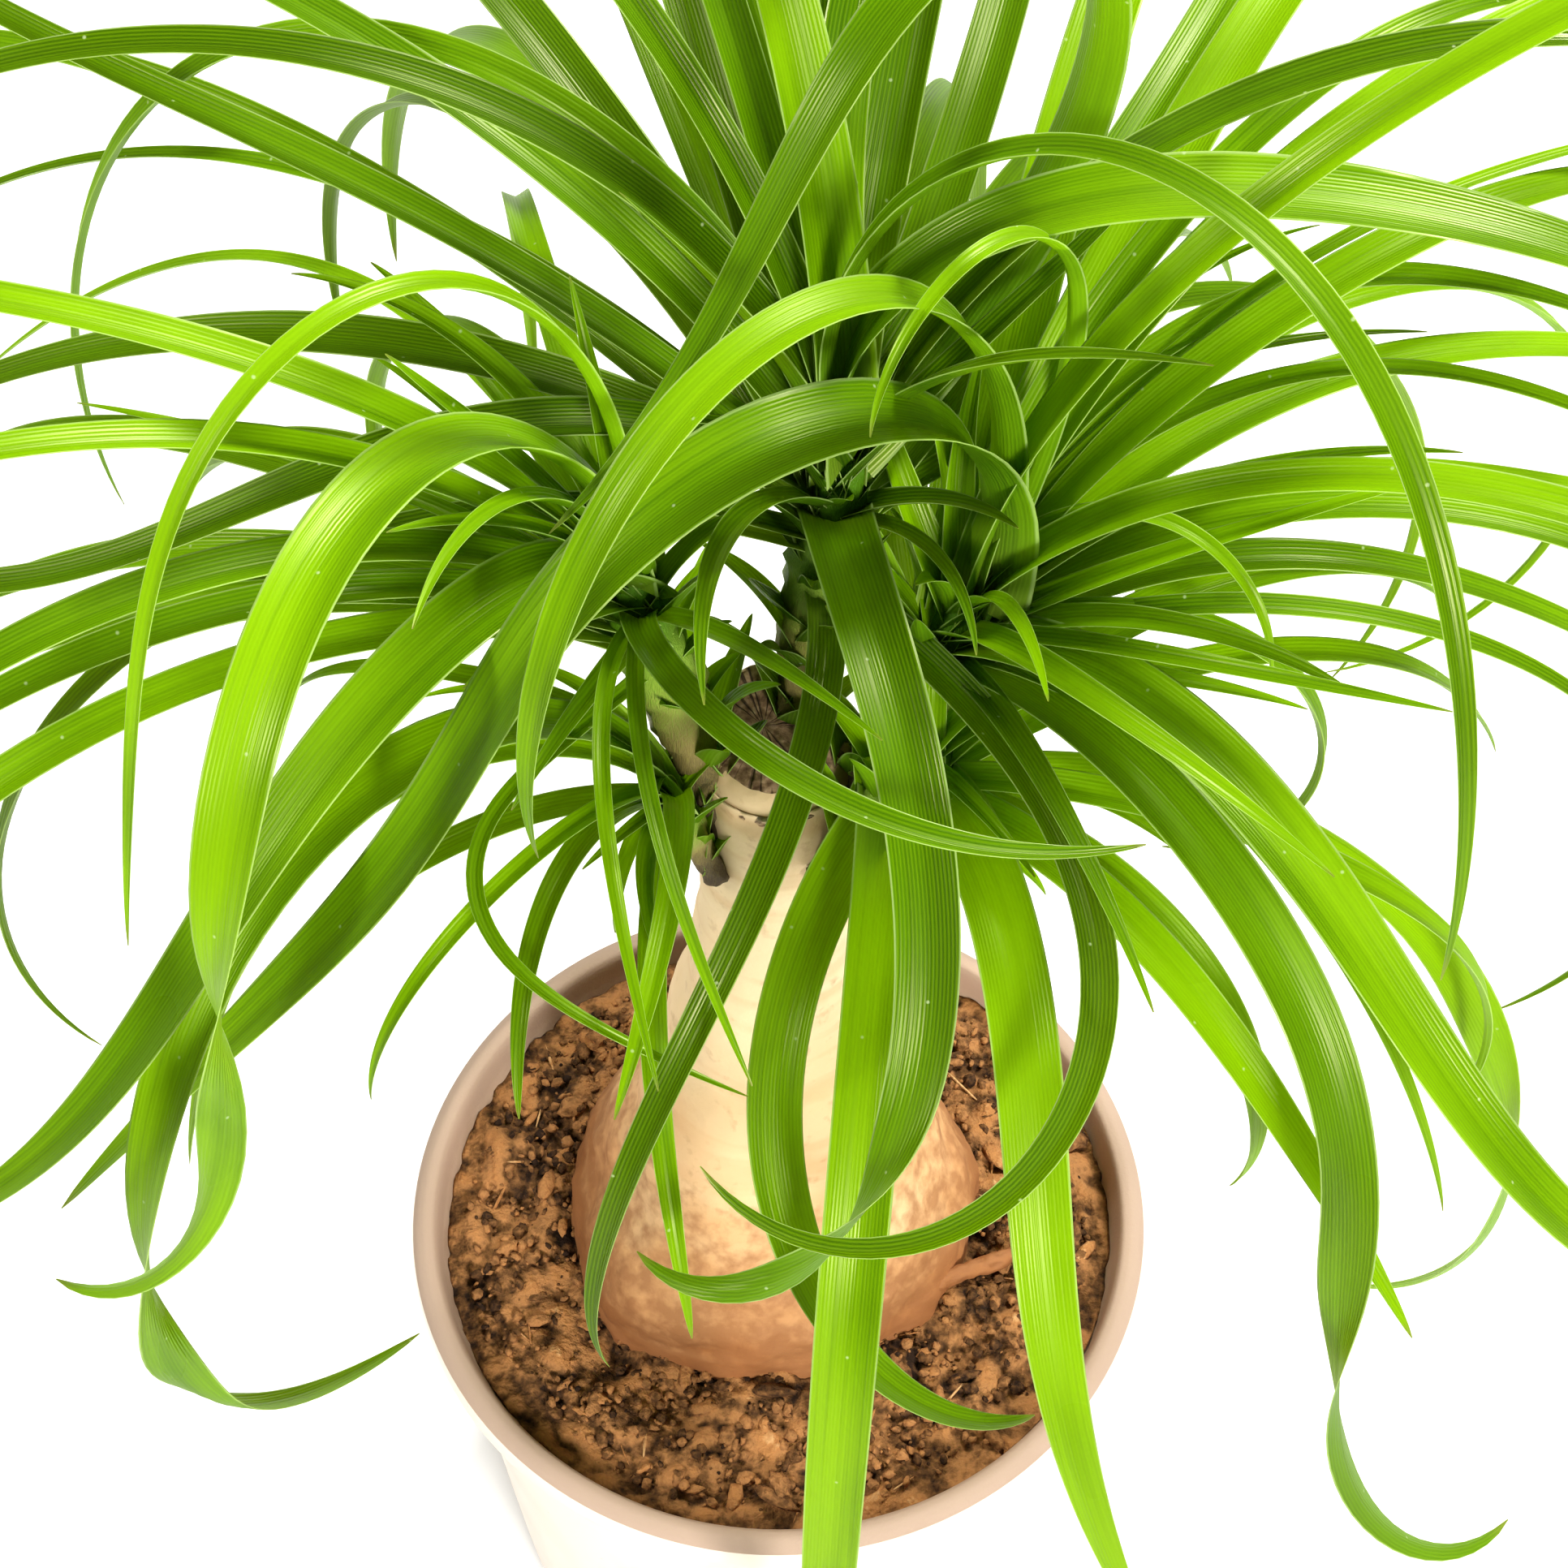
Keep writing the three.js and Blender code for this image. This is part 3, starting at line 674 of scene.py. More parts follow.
def corky_bark(settings):
    """Thin corky bark: matt, tan on the bulb and cream on the neck, partly painted shade low down
    and painted highlight up the neck, blotched with tan and dusted with soil low down.
    """
    material, tree = new_material("corky_bark")
    place = add(tree, "TexCoord").outputs["Object"]
    height = add(tree, "SeparateXYZ", {"Vector": place}).outputs["Z"]
    # Tan low and cream high, moved up and down by a large cloud: the bark's own colours, with
    # painted shade low on the bulb and painted highlight on the neck
    cloud = add(tree, "TexNoise", {"Vector": place, "Scale": per_mm(30), "Detail": 5.0})
    shifted = {0: cloud, 1: 110 * MM, 2: height}
    level = add(tree, "Math", shifted, operation="MULTIPLY_ADD")
    span = {"Value": level, "From Min": 172 * MM, "From Max": 380 * MM}
    climb = add(tree, "MapRange", span)
    body = add(
        tree,
        "ValToRGB",
        {"Fac": climb},
        stops=[
            (0.0, "#8a5a34"),
            (0.12, settings.low_colour),
            (0.27, "#cc9c6b"),
            (0.44, settings.high_colour),
            (0.8, "#ead2ac"),
            (1.0, "#cdae86"),
        ],
    )
    # Faint wrinkles round the trunk, a few millimetres apart, with painted shade in their grooves
    flat = {"Vector": place, "Scale": (per_mm(60), per_mm(60), per_mm(6))}
    wrinkled = add(tree, "Mapping", flat)
    folds = {"Vector": wrinkled, "Scale": 1.0, "Detail": 2.0}
    rings = add(tree, "TexNoise", folds)
    groove_shade = add(tree, "ValToRGB", {"Fac": rings}, stops=[(0.36, 0.35), (0.5, 0.0)])
    ringed = {0: groove_shade, MIX_A: body, MIX_B: linear("#cfa273")}
    tinted = add(tree, "Mix", ringed, data_type="RGBA")
    # Soil dust and corky flakes, thick at the soil and gone on the neck
    flake = add(tree, "TexNoise", {"Vector": place, "Scale": per_mm(4), "Detail": 8.0})
    dust = {"Value": height, "From Min": 205 * MM, "From Max": 138 * MM, "To Max": 0.5}
    near = add(tree, "MapRange", dust)
    settled = {0: flake, 1: near}
    dusting = add(tree, "Math", settled, operation="ADD")
    patch = add(tree, "ValToRGB", {"Fac": dusting}, stops=[(0.6, 0.0), (0.9, 0.7)])
    patched = {0: patch, MIX_A: tinted, MIX_B: linear("#94633c")}
    colour = add(tree, "Mix", patched, data_type="RGBA")
    relief = {0: rings, 1: 0.5, 2: flake}
    heights = add(tree, "Math", relief, operation="MULTIPLY_ADD")
    bump = add(tree, "Bump", {"Height": heights, "Distance": 0.55 * MM, "Strength": 0.8})
    surface = {"Base Color": colour, "Roughness": 0.74, "IOR": 1.45, "Normal": bump}
    shader = add(tree, "BsdfPrincipled", surface)
    add(tree, "OutputMaterial", {"Surface": shader})
    return material


def sawn_cork(settings):
    """Sawn top, healed over years: dull brown cork with drying cracks that run from its middle."""
    material, tree = new_material("sawn_cork")
    place = add(tree, "TexCoord").outputs["Object"]
    middle = (-TRUNK["axis"][0] * MM, -(TRUNK["axis"][1] + TRUNK["lean"]) * MM, 0)
    centred = add(tree, "Mapping", {"Vector": place, "Location": middle})
    round_it = add(tree, "TexGradient", {"Vector": centred}, gradient_type="RADIAL")
    out = add(tree, "VectorMath", {0: centred}, operation="LENGTH").outputs["Value"]
    polar = add(tree, "CombineXYZ", {"X": round_it.outputs["Fac"], "Y": out})
    # About forty rays to the turn, each some 20 mm long
    rays = {"Vector": polar, "Scale": (40, per_mm(20), 1)}
    rayed = add(tree, "Mapping", rays)
    split = {"Vector": rayed, "Scale": 1.0, "Detail": 2.0}
    cracks = add(tree, "TexNoise", split, noise_dimensions="2D")
    fibre = add(tree, "TexNoise", {"Vector": place, "Scale": per_mm(1.6), "Detail": 6.0})
    tones = [(0.3, "#5f4733"), (0.5, settings.cork_colour), (0.7, "#b3957a")]
    body = add(tree, "ValToRGB", {"Fac": fibre}, stops=tones)
    gap = add(tree, "ValToRGB", {"Fac": cracks}, stops=[(0.34, 0.8), (0.42, 0.0)])
    cracked = {0: gap, MIX_A: body, MIX_B: linear("#35251a")}
    colour = add(tree, "Mix", cracked, data_type="RGBA")
    depth = {0: gap, 1: -1.5, 2: fibre}
    heights = add(tree, "Math", depth, operation="MULTIPLY_ADD")
    bump = add(tree, "Bump", {"Height": heights, "Distance": 0.6 * MM, "Strength": 0.9})
    surface = {"Base Color": colour, "Roughness": 0.9, "IOR": 1.4, "Normal": bump}
    shader = add(tree, "BsdfPrincipled", surface)
    add(tree, "OutputMaterial", {"Surface": shader})
    return material


def strap_leaf(settings):
    """Living strap leaf: leathery satin skin over fine parallel veins, with light glowing through.

    Its surface carries blade (millimetres across and along, and a number of its own) and
    place (0 midrib to 1 margin, 0 root to 1 tip, 1 on the upper face), and tone, from dark to pale,
    which holds painted light and shade.
    """
    material, tree = new_material("strap_leaf")
    blade = add(tree, "Attribute", attribute_name="blade").outputs["Vector"]
    place = add(tree, "Attribute", attribute_name="place").outputs["Vector"]
    tone = add(tree, "Attribute", attribute_name="tone").outputs["Fac"]
    margin, reach, upper = add(tree, "SeparateXYZ", {"Vector": place}).outputs

    # Real veins stand about 0.4 mm apart, and are drawn wider apart than that so that they show
    veins = add(
        tree,
        "TexWave",
        {"Vector": blade, "Scale": WAVE_BAND / settings.vein_spacing, "Distortion": 0.0},
    )
    # Streaks that run through the veins, and clouds of tone along the blade
    streaked = {"Vector": blade, "Scale": (1 / 1.1, 1 / 150, 1)}
    streaks = add(tree, "Mapping", streaked)
    banded = {"Vector": streaks, "Scale": 1.0, "Detail": 2.0}
    streak = add(tree, "TexNoise", banded, noise_dimensions="2D")
    clouded = {"Vector": blade, "Scale": (1 / 14, 1 / 60, 1)}
    clouds = add(tree, "Mapping", clouded)
    drifting = {"Vector": clouds, "Scale": 1.0, "Detail": 1.0}
    cloud = add(tree, "TexNoise", drifting, noise_dimensions="2D")
    # The leaf's tone, which holds painted light and shade, and a cloud set its place on the ramp
    drift = {0: cloud, 1: 0.6, 2: tone}
    raised = add(tree, "Math", drift, operation="MULTIPLY_ADD")
    mottled = {0: streak, 1: 0.34, 2: raised}
    summed = add(tree, "Math", mottled, operation="MULTIPLY_ADD")
    span = {"Value": summed, "From Min": 0.56, "From Max": 1.2}
    level = add(tree, "MapRange", span)
    skin = add(
        tree,
        "ValToRGB",
        {"Fac": level},
        stops=[
            (0.0, settings.deep_colour),
            (0.5, settings.leaf_colour),
            (1.0, settings.young_and_lit_colour),
        ],
    )
    faint = {0: veins.outputs["Fac"], 1: settings.vein_contrast}
    shown = add(tree, "Math", faint, operation="MULTIPLY")
    striped = {0: shown, MIX_A: skin, MIX_B: rgba(settings.vein_colour)}
    colour = add(tree, "Mix", striped, data_type="RGBA")
    dotted = {"Vector": blade, "Scale": 1 / 21}
    fleck = add(tree, "TexVoronoi", dotted, voronoi_dimensions="2D")
    # The duller lower face, pale root and margin, dried tip and small pale flecks, in that order
    layers = (
        (upper, [(0.0, 0.3), (1.0, 0.0)], "#6f9a30"),
        (reach, [(0.0, 0.6), (0.1, 0.0)], "#a9c04a"),
        (margin, [(0.93, 0.0), (0.97, 0.55)], "#d6e8a4"),
        (reach, [(0.97, 0.0), (0.997, 0.8)], "#8d8a4c"),
        (fleck, [(0.009, 0.55), (0.017, 0.0)], "#dfe7c0"),
    )
    for where, stops, code in layers:
        share = add(tree, "ValToRGB", {"Fac": where}, stops=stops)
        laid = {0: share, MIX_A: colour, MIX_B: linear(code)}
        colour = add(tree, "Mix", laid, data_type="RGBA")

    ribbed = add(
        tree,
        "Bump",
        {"Height": veins.outputs["Fac"], "Distance": 0.045 * MM, "Strength": 1.0},
    )
    bump = add(
        tree,
        "Bump",
        {"Height": streak, "Distance": 0.16 * MM, "Strength": 1.0, "Normal": ribbed},
    )
    worn = {"Value": cloud, "From Min": 0.3, "From Max": 0.7}
    worn |= {"To Min": settings.gloss_low, "To Max": settings.gloss_high}
    gloss = add(tree, "MapRange", worn)
    skin_shader = add(
        tree,
        "BsdfPrincipled",
        {
            "Base Color": colour,
            "Roughness": gloss,
            "IOR": 1.45,
            "Specular IOR Level": 0.6,
            "Specular Tint": linear("#fff6c8"),
            "Normal": bump,
        },
    )
    glow_colour = add(
        tree,
        "Mix",
        {0: 0.7, MIX_A: colour, MIX_B: rgba(settings.glow_colour)},
        data_type="RGBA",
    )
    glow = add(tree, "BsdfTranslucent", {"Color": glow_colour, "Normal": bump})
    both = {0: settings.glow_share, 1: skin_shader, 2: glow}
    mixed = add(tree, "MixShader", both)
    add(tree, "OutputMaterial", {"Surface": mixed})
    return material


def leaf_sheath(settings):
    """Stem wrapped in old leaf bases: dry tan at the foot, pale green where leaves clasp it."""
    material, tree = new_material("leaf_sheath")
    place = add(tree, "TexCoord").outputs["Object"]
    climb = add(tree, "Attribute", attribute_name="tone").outputs["Fac"]
    tall = {"Vector": place, "Scale": (per_mm(1.1), per_mm(1.1), per_mm(12))}
    fibres = add(tree, "Mapping", tall)
    fibre = add(tree, "TexNoise", {"Vector": fibres, "Detail": 4.0})
    shifted = {0: fibre, 1: 0.35, 2: climb}
    level = add(tree, "Math", shifted, operation="MULTIPLY_ADD")
    tones = [(0.2, "#5a4a34"), (0.45, "#9a8a52"), (0.7, "#8aa33c"), (1.0, settings.leaf_colour)]
    colour = add(tree, "ValToRGB", {"Fac": level}, stops=tones)
    bump = add(tree, "Bump", {"Height": fibre, "Distance": 0.5 * MM, "Strength": 0.7})
    surface = {"Base Color": colour, "Roughness": 0.6, "IOR": 1.45, "Normal": bump}
    shader = add(tree, "BsdfPrincipled", surface)
    add(tree, "OutputMaterial", {"Surface": shader})
    return material


def studio_paper(settings):
    """Seamless matt paper sweep: an even white with no sheen."""
    material, tree = new_material("studio_paper")
    colours = {"Base Color": rgba(settings.floor_colour), "Roughness": 0.9, "IOR": 1.3}
    shader = add(tree, "BsdfPrincipled", colours)
    add(tree, "OutputMaterial", {"Surface": shader})
    return material


# Pieces


def build_pot(settings):
    """Turned pot, glazed outside, with its rim, inside and foot bare."""
    rim, lip, edge = POT["rim_round"], POT["lip_radius"], POT["collar_round"]
    collar = POT_TOP - POT["collar"]
    profile = [
        (0, POT_FOOT),
        (POT["foot_radius"] - POT["foot_round"], POT_FOOT),
        (POT["foot_radius"], POT_FOOT + POT["foot_round"]),
        (POT["body_radius"], collar - edge),
        (RIM_RADIUS - edge, collar),
        (RIM_RADIUS, collar + edge),
        (RIM_RADIUS, POT_TOP - rim),
        (RIM_RADIUS - 0.4 * rim, POT_TOP - 0.35 * rim),
        (RIM_RADIUS - rim, POT_TOP),
        (lip + 0.3 * rim, POT_TOP - 0.1 * rim),
        (lip, POT_TOP - 0.6 * rim),
        (POT["lip_foot_radius"], POT_TOP - POT["lip_depth"]),
        (POT["body_radius"] - POT["wall"], POT["ledge"]),
        (POT["foot_radius"] - POT["wall"], POT["floor"]),
        (0, POT["floor"]),
    ]
    smooth = refine(round_corners(profile, 2), 4)
    verts, faces = lathe(smooth, POT_SIDES)
    piece = make_piece("pot_body", verts, faces, [satin_glaze(settings), bare_stoneware(settings)])
    # Glaze covers the outside up to its line, and leaves the foot bare
    heights = [z for r, z in smooth if r > 0]
    wiped = next(row for row, z in enumerate(heights) if z > POT_TOP - GLAZE_LINE)
    for polygon in piece.data.polygons:
        row = polygon.index // POT_SIDES
        polygon.material_index = int(row == 0 or row >= wiped)
    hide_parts("pot")


def soil_height(x, y):
    """Top of the potting mix before its finer relief, the same rule as its solid."""
    r = np.hypot(x, y)
    heap = 1 - smoothstep(r, SOIL["rise_radius"], SOIL["radius"])
    edge = smoothstep(SOIL["radius"] - r, 0, SOIL["edge_run"])
    bumps = np.sin(x / 4.1 + 1.3) * np.cos(y / 5.3) + 0.7 * np.sin((x + 1.6 * y) / 6.7)
    return SOIL["edge"] + SOIL["rise"] * heap + SOIL_RELIEF * edge * bumps


def rough_stone(size, draw, detail):
    """An uneven lump of unit size stretched to size, as vertices and faces."""
    angles = 6 + 2 * detail
    turns = [math.pi * i / angles for i in range(angles + 1)]
    profile = [(math.sin(turn), -math.cos(turn)) for turn in turns]
    profile[0], profile[-1] = (0, -1), (0, 1)
    verts, faces = lathe(profile, angles + 2)
    offset = Vector((next(draw), next(draw), next(draw))) * 50
    for v in verts:
        v *= 1 + 0.6 * noise.noise(Vector(v) * 1.9 + offset)
    return verts * np.array(size), faces


def turned(verts, tilt, spin):
    """Vertices tilted about X and then turned about Z."""
    ct, st, cs, ss = math.cos(tilt), math.sin(tilt), math.cos(spin), math.sin(spin)
    about_x = np.array([[1, 0, 0], [0, ct, -st], [0, st, ct]])
    about_z = np.array([[cs, -ss, 0], [ss, cs, 0], [0, 0, 1]])
    return verts @ (about_z @ about_x).T


def soil_lumps():
    """The larger clods, where the solids have them."""
    draw = draws_from(LUMP_SEED)
    clods = []
    for _ in range(SOIL_LUMPS):
        angle = next(draw) * 2 * math.pi
        radius = lerp(*SOIL_LUMP_RING, next(draw))
        x, y = radius * math.cos(angle), radius * math.sin(angle)
        size = lerp(*SOIL_LUMP_SIZE, next(draw) ** 2)
        wide, tall = lerp(0.55, 0.9, next(draw)), lerp(0.35, 0.6, next(draw))
        tilt, spin = 0.5 * (next(draw) - 0.5), next(draw) * math.pi
        shape = draws_from(int(size * 1000))
        verts, faces = rough_stone((size, size * wide, size * tall), shape, 2)
        place = np.array([x, y, float(soil_height(x, y)) + 0.1 * size])
        clods.append((turned(verts, tilt, spin) + place, faces))
    return clods


def on_soil(draw, inner, outer):
    """A drawn place on the potting mix, between the trunk and the pot."""
    angle = next(draw) * 2 * math.pi
    radius = math.sqrt(lerp(inner**2, outer**2, next(draw)))
    x, y = radius * math.cos(angle), radius * math.sin(angle)
    return np.array([x, y, float(soil_height(x, y))])


def scatter_crumbs(settings):
    """Crumbs, bark chips and fibres on top of the potting mix, with a tone for each."""
    draw = draws_from(CRUMB_SEED)
    pieces, tones = [], []
    # How many, then the ranges of length, of width and height as shares of it, and of tone
    kinds = (
        (settings.crumb_count, (0.4, 1.7), (0.5, 1.0), (0.4, 0.8), (0.12, 0.46)),
        (settings.chip_count, (2.2, 5.2), (0.3, 0.6), (0.15, 0.3), (0.2, 0.62)),
        (settings.fibre_count, (3.0, 8.0), (0.05, 0.1), (0.05, 0.09), (0.5, 0.8)),
    )
    for count, size, wide, tall, tone in kinds:
        for _ in range(count):
            place = on_soil(draw, *CRUMB_RING)
            length = lerp(*size, next(draw) ** 2)
            form = (length, length * lerp(*wide, next(draw)), length * lerp(*tall, next(draw)))
            verts, faces = rough_stone(form, draw, 0)
            verts = turned(verts, 0.9 * (next(draw) - 0.5), next(draw) * 2 * math.pi)
            pieces.append((verts + place + np.array([0, 0, 0.35 * form[2] + 0.6]), faces))
            tones.append(np.full(len(verts), lerp(*tone, next(draw)) - 0.25))
    verts, faces = merge(pieces)
    return verts, faces, np.concatenate(tones)


def build_soil(settings):
    """Potting mix up to its lumpy top, and the crumbs and chips that lie on it."""
    wall = POT["wall"] + GAP
    profile = [
        (0, POT["floor"] + GAP),
        (POT["foot_radius"] - wall, POT["floor"] + GAP),
        (POT["body_radius"] - wall, POT["ledge"]),
        *[(r, SOIL["edge"]) for r in np.linspace(SOIL["radius"], 1.0, 100)],
        (0, SOIL["edge"]),
    ]
    verts, faces = lathe(profile, SOIL_SIDES)
    tones = np.zeros(len(verts))
    for i, (x, y, z) in enumerate(verts):
        if z <= POT["ledge"]:
            continue
        r = math.hypot(x, y)
        fine = noise.fractal(Vector((x, y, 3.0)) * 0.16, 0.7, 2.1, 6)
        clod = noise.noise(Vector((x, y, 9.0)) * 0.17)
        crumb = noise.noise(Vector((x, y, 5.0)) * 0.5)
        relief = 1.3 * fine + 2.4 * abs(clod) + 0.6 * abs(crumb) - 0.6
        verts[i, 2] = float(soil_height(x, y)) + relief
        # Paler on the raised clods, with painted shade: darker within 50 mm of the axis, round the
        # foot of the bulb
        tones[i] = 0.5 * abs(clod) + 0.12 * fine + 0.1 * crumb - 0.06 - 0.08 * (r < 50)
    clods = merge(soil_lumps())
    whole_verts, whole_faces = merge([(verts, faces), clods])
    whole_tones = np.concatenate([tones, np.full(len(clods[0]), 0.12)])
    mix = potting_mix(settings)
    piece = make_piece("potting_mix", whole_verts, whole_faces, [mix], {"tone": whole_tones})
    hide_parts("soil")
    crumb_verts, crumb_faces, crumb_tones = scatter_crumbs(settings)
    crumbs = make_piece("crumbs_and_chips", crumb_verts, crumb_faces, [mix], {"tone": crumb_tones})


def trunk_profile():
    """Outline that the trunk is turned from, before its lobes and lean."""
    bulb, radius, neck, top = (TRUNK[key] for key in ("bulb", "bulb_radius", "neck_radius", "top"))
    # Radius as a share of the bulb's, and height, from the foot to below the neck
    shares = [
        (0.76, TRUNK["foot"] + 6),
        (0.93, bulb - 20),
        (1, bulb - 8),
        (1, bulb + 3),
        (0.95, bulb + 13),
        (0.86, bulb + 22),
        (0.76, bulb + 31),
        (0.67, bulb + 42),
        (0.6, bulb + 55),
        (0.53, bulb + 70),
        (0.455, bulb + 88),
        (0.385, bulb + 106),
    ]
    return [
        (0, TRUNK["foot"]),
        (radius * 0.5, TRUNK["foot"]),
        *[(radius * share, z) for share, z in shares],
        (neck + 1, bulb + 126),
        (neck, bulb + 146),
        (neck + 0.8, top - 12),
        (neck, top - 3),
        (neck - 2, top),
        (0, top),
    ]


# Height of the rings round the bark
RING_RELIEF = 0.45


def build_trunk(settings):
    """Bulb, neck and surface root in one piece, barked but for the sawn top."""
    verts, faces = lathe(refine(round_corners(trunk_profile(), 2), 1.6), TRUNK_SIDES)
    for v in verts:
        angle = math.atan2(v[1], v[0])
        low = 1 - smoothstep(v[2], TRUNK["bulb"], TRUNK["bulb"] + 130)
        lobes = math.cos(3 * angle + 0.6) + 0.6 * math.sin(5 * angle + 1)
        swell = 1 + TRUNK["lobe"] * low * lobes
        at = Vector(v)
        # Low rings all the way up, and knobs that are five times as high on the bulb
        rings = noise.noise(Vector((at.x * 0.02, at.y * 0.02, at.z * 0.17)))
        knobs = noise.fractal(at * 0.055, 0.9, 2.1, 6)
        away = math.hypot(at.x, at.y)
        relief = RING_RELIEF * rings + settings.bark_relief * knobs * (0.2 + 0.8 * low)
        proud = relief / max(away, 6)
        v[0] = v[0] * (swell + proud) + TRUNK["axis"][0] * low
        v[1] = v[1] * (swell + proud) + TRUNK["axis"][1] + TRUNK["lean"] * (1 - low)
        if at.z > TRUNK["top"] - 8:
            v[2] += TRUNK["slope"] * v[1] - 2 + 0.5 * noise.noise(at * 0.5)
    times = np.linspace(0, 1, 40)
    route = np.stack([along([p[k] for p in ROOT_ROUTE], times) for k in range(3)], -1)
    root = tube(route, ROOT_RADIUS * (1 - 0.25 * times), ROOT_SIDES, 0.5)
    whole_verts, whole_faces = merge([(verts, faces), root])
    materials = [corky_bark(settings), sawn_cork(settings)]
    piece = make_piece("bulb_and_neck", whole_verts, whole_faces, materials)
    # The sawn face lies inside the edge that the bark has healed over
    for polygon in piece.data.polygons:
        centre, facing = polygon.center / MM, polygon.normal
        sawn = centre.z > TRUNK["top"] - 6 and facing.z > 0.8
        polygon.material_index = int(sawn)
    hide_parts("trunk")


# Half of a blade's cross-section, from the midrib to the margin
HALF_ACROSS = np.array([0.0, 0.3, 0.62, 0.9, 1.0])
BLADE_FOLD, NARROW_FOLD, ROOT_FOLD = 0.28, 0.5, 0.55
BLADE_THICKNESS = 0.55
# Widths at which a leaf counts as narrow and as broad
NARROW_WIDTH, BROAD_WIDTH = 6, 12
# A blade is wider at its root, and deeper folded there, and both fade along it
ROOT_FLARE, FLARE_FADE, FOLD_FADE = 0.2, 14, 8
# Its width falls away to the tip by a power, down to half of a tip's width in millimetres
TIP_POWER, TIP_HALF = 0.75, 0.12
# A leaf rolls over within this share of its length on each side of its flip
TWIST_SPAN = 0.2
# Millimetres between the pattern coordinates of two leaves, so that none repeats another
PATTERN_STEP = 40
# A blade waves along its margins: share of its width, and millimetres to a wave over 2 pi
WAVE_HEIGHT, WAVE_RUN = 0.035, 19
GOLDEN_ANGLE = 137.5
# Millimetres of stem to each old leaf base
BASE_SPACING = 3


def blade_sides(leaf, t):
    """Directions across each section and out of its upper face, rolled over where it flips."""
    turn = np.radians(along(leaf["turn"], t))
    across = np.stack([-np.sin(turn), np.cos(turn), np.zeros_like(turn)], -1)
    out = np.cross(heading(leaf, t), across)
    roll = np.zeros_like(t)
    if leaf["flip"] is not None:
        roll = np.pi * smoothstep(t, leaf["flip"] - TWIST_SPAN, leaf["flip"] + TWIST_SPAN)
    c, s = np.cos(roll)[:, None], np.sin(roll)[:, None]
    return across * c + out * s, out * c - across * s


def blade(head, leaf, number):
    """Vertices, faces, and the blade and place coordinates of one leaf, on both of its faces."""
    t = np.linspace(0, 1, LINE_STEPS + 1)
    line = leaf_line(head, leaf)
    side, out = blade_sides(leaf, t)
    taper = np.clip(1 - t ** leaf["taper"], 0, 1) ** TIP_POWER
    half = 0.5 * leaf["width"] * taper * (1 + ROOT_FLARE * np.exp(-FLARE_FADE * t)) + TIP_HALF
    # A narrow leaf is folded along its midrib, and a broad one is bowed
    broad = smoothstep(leaf["width"], NARROW_WIDTH, BROAD_WIDTH)
    fold = lerp(lerp(NARROW_FOLD, BLADE_FOLD, broad), ROOT_FOLD, np.exp(-FOLD_FADE * t))
    across = np.concatenate([-HALF_ACROSS[:0:-1], HALF_ACROSS])
    count = len(across)
    lift = np.abs(across) ** lerp(1.1, 1.6, broad)
    wave = WAVE_HEIGHT * leaf["width"] * np.sin(t * leaf["length"] / WAVE_RUN + 2.4 * number)
    fade = np.clip(t * 5, 0, 1) * taper
    rows, blades, places = [], [], []
    for upper in (1, 0):
        for k, share in enumerate(across):
            rise = half * fold * lift[k] + wave * fade * share * abs(share)
            sunk = 0 if upper else BLADE_THICKNESS * taper * (1 - 0.7 * abs(share)) + 0.05
            rows.append(line + side * (half * share)[:, None] + out * (rise - sunk)[:, None])
            mine = np.full_like(t, number)
            sideways = half * share + PATTERN_STEP * number
            blades.append(np.stack([sideways, t * leaf["length"], mine], -1))
            places.append(np.stack([np.full_like(t, abs(share)), t, np.full_like(t, upper)], -1))
    ring = list(range(count)) + list(range(2 * count - 1, count - 1, -1))
    stretch = LINE_STEPS + 1
    faces = []
    for a, b in zip(ring, ring[1:] + ring[:1]):
        for i in range(LINE_STEPS):
            near, far = a * stretch + i, b * stretch + i
            faces.append((far, near, near + 1, far + 1))
    return np.concatenate(rows), faces, np.concatenate(blades), np.concatenate(places)


# Painted light and shade for each head's leaves: palest on the front head, where the front light
# falls, and darkest on the back head
HEAD_LIGHT_TONES = {
    "head_back": 0.08,
    "head_right": 0.44,
    "head_front": 0.66,
    "head_left": 0.42,
    "head_shoot": 0.42,
}


def leaf_tone(name, leaf, draw):
    """How pale a leaf is, from 0 to 1, with light and shade painted in: each head has a painted
    tone for how light falls on it, leaves heading to the back get painted back-light, young upright
    leaves are paler, and a random share is added, so young upright leaves heading to the back are
    palest within a head.
    """
    upright = smoothstep(leaf["rise"][0], 20, 90)
    # Painted back-light on leaves that head away to the back
    backlit = smoothstep(math.sin(math.radians(leaf["turn"][0])), -0.6, 1)
    return HEAD_LIGHT_TONES[name] + 0.16 * upright + 0.12 * backlit + 0.46 * (next(draw) - 0.5)


def stem(head):
    """Vertices, faces and tone of a head's stem, wrapped in the stubs of old leaf bases."""
    foot, crown = np.array(head["foot"], float), np.array(head["crown"], float)
    slim = head.get("slim", 1)
    t = np.linspace(0, 1, 28)
    radius = slim * along([STEM_FOOT, STEM_FOOT, STEM_CROWN, STEM_CROWN, STEM_CROWN * 0.7], t)
    verts, faces = tube(foot + t[:, None] * (crown - foot), radius, STEM_SIDES, 0.35)
    return verts, faces, np.repeat(t, STEM_SIDES) ** 1.5


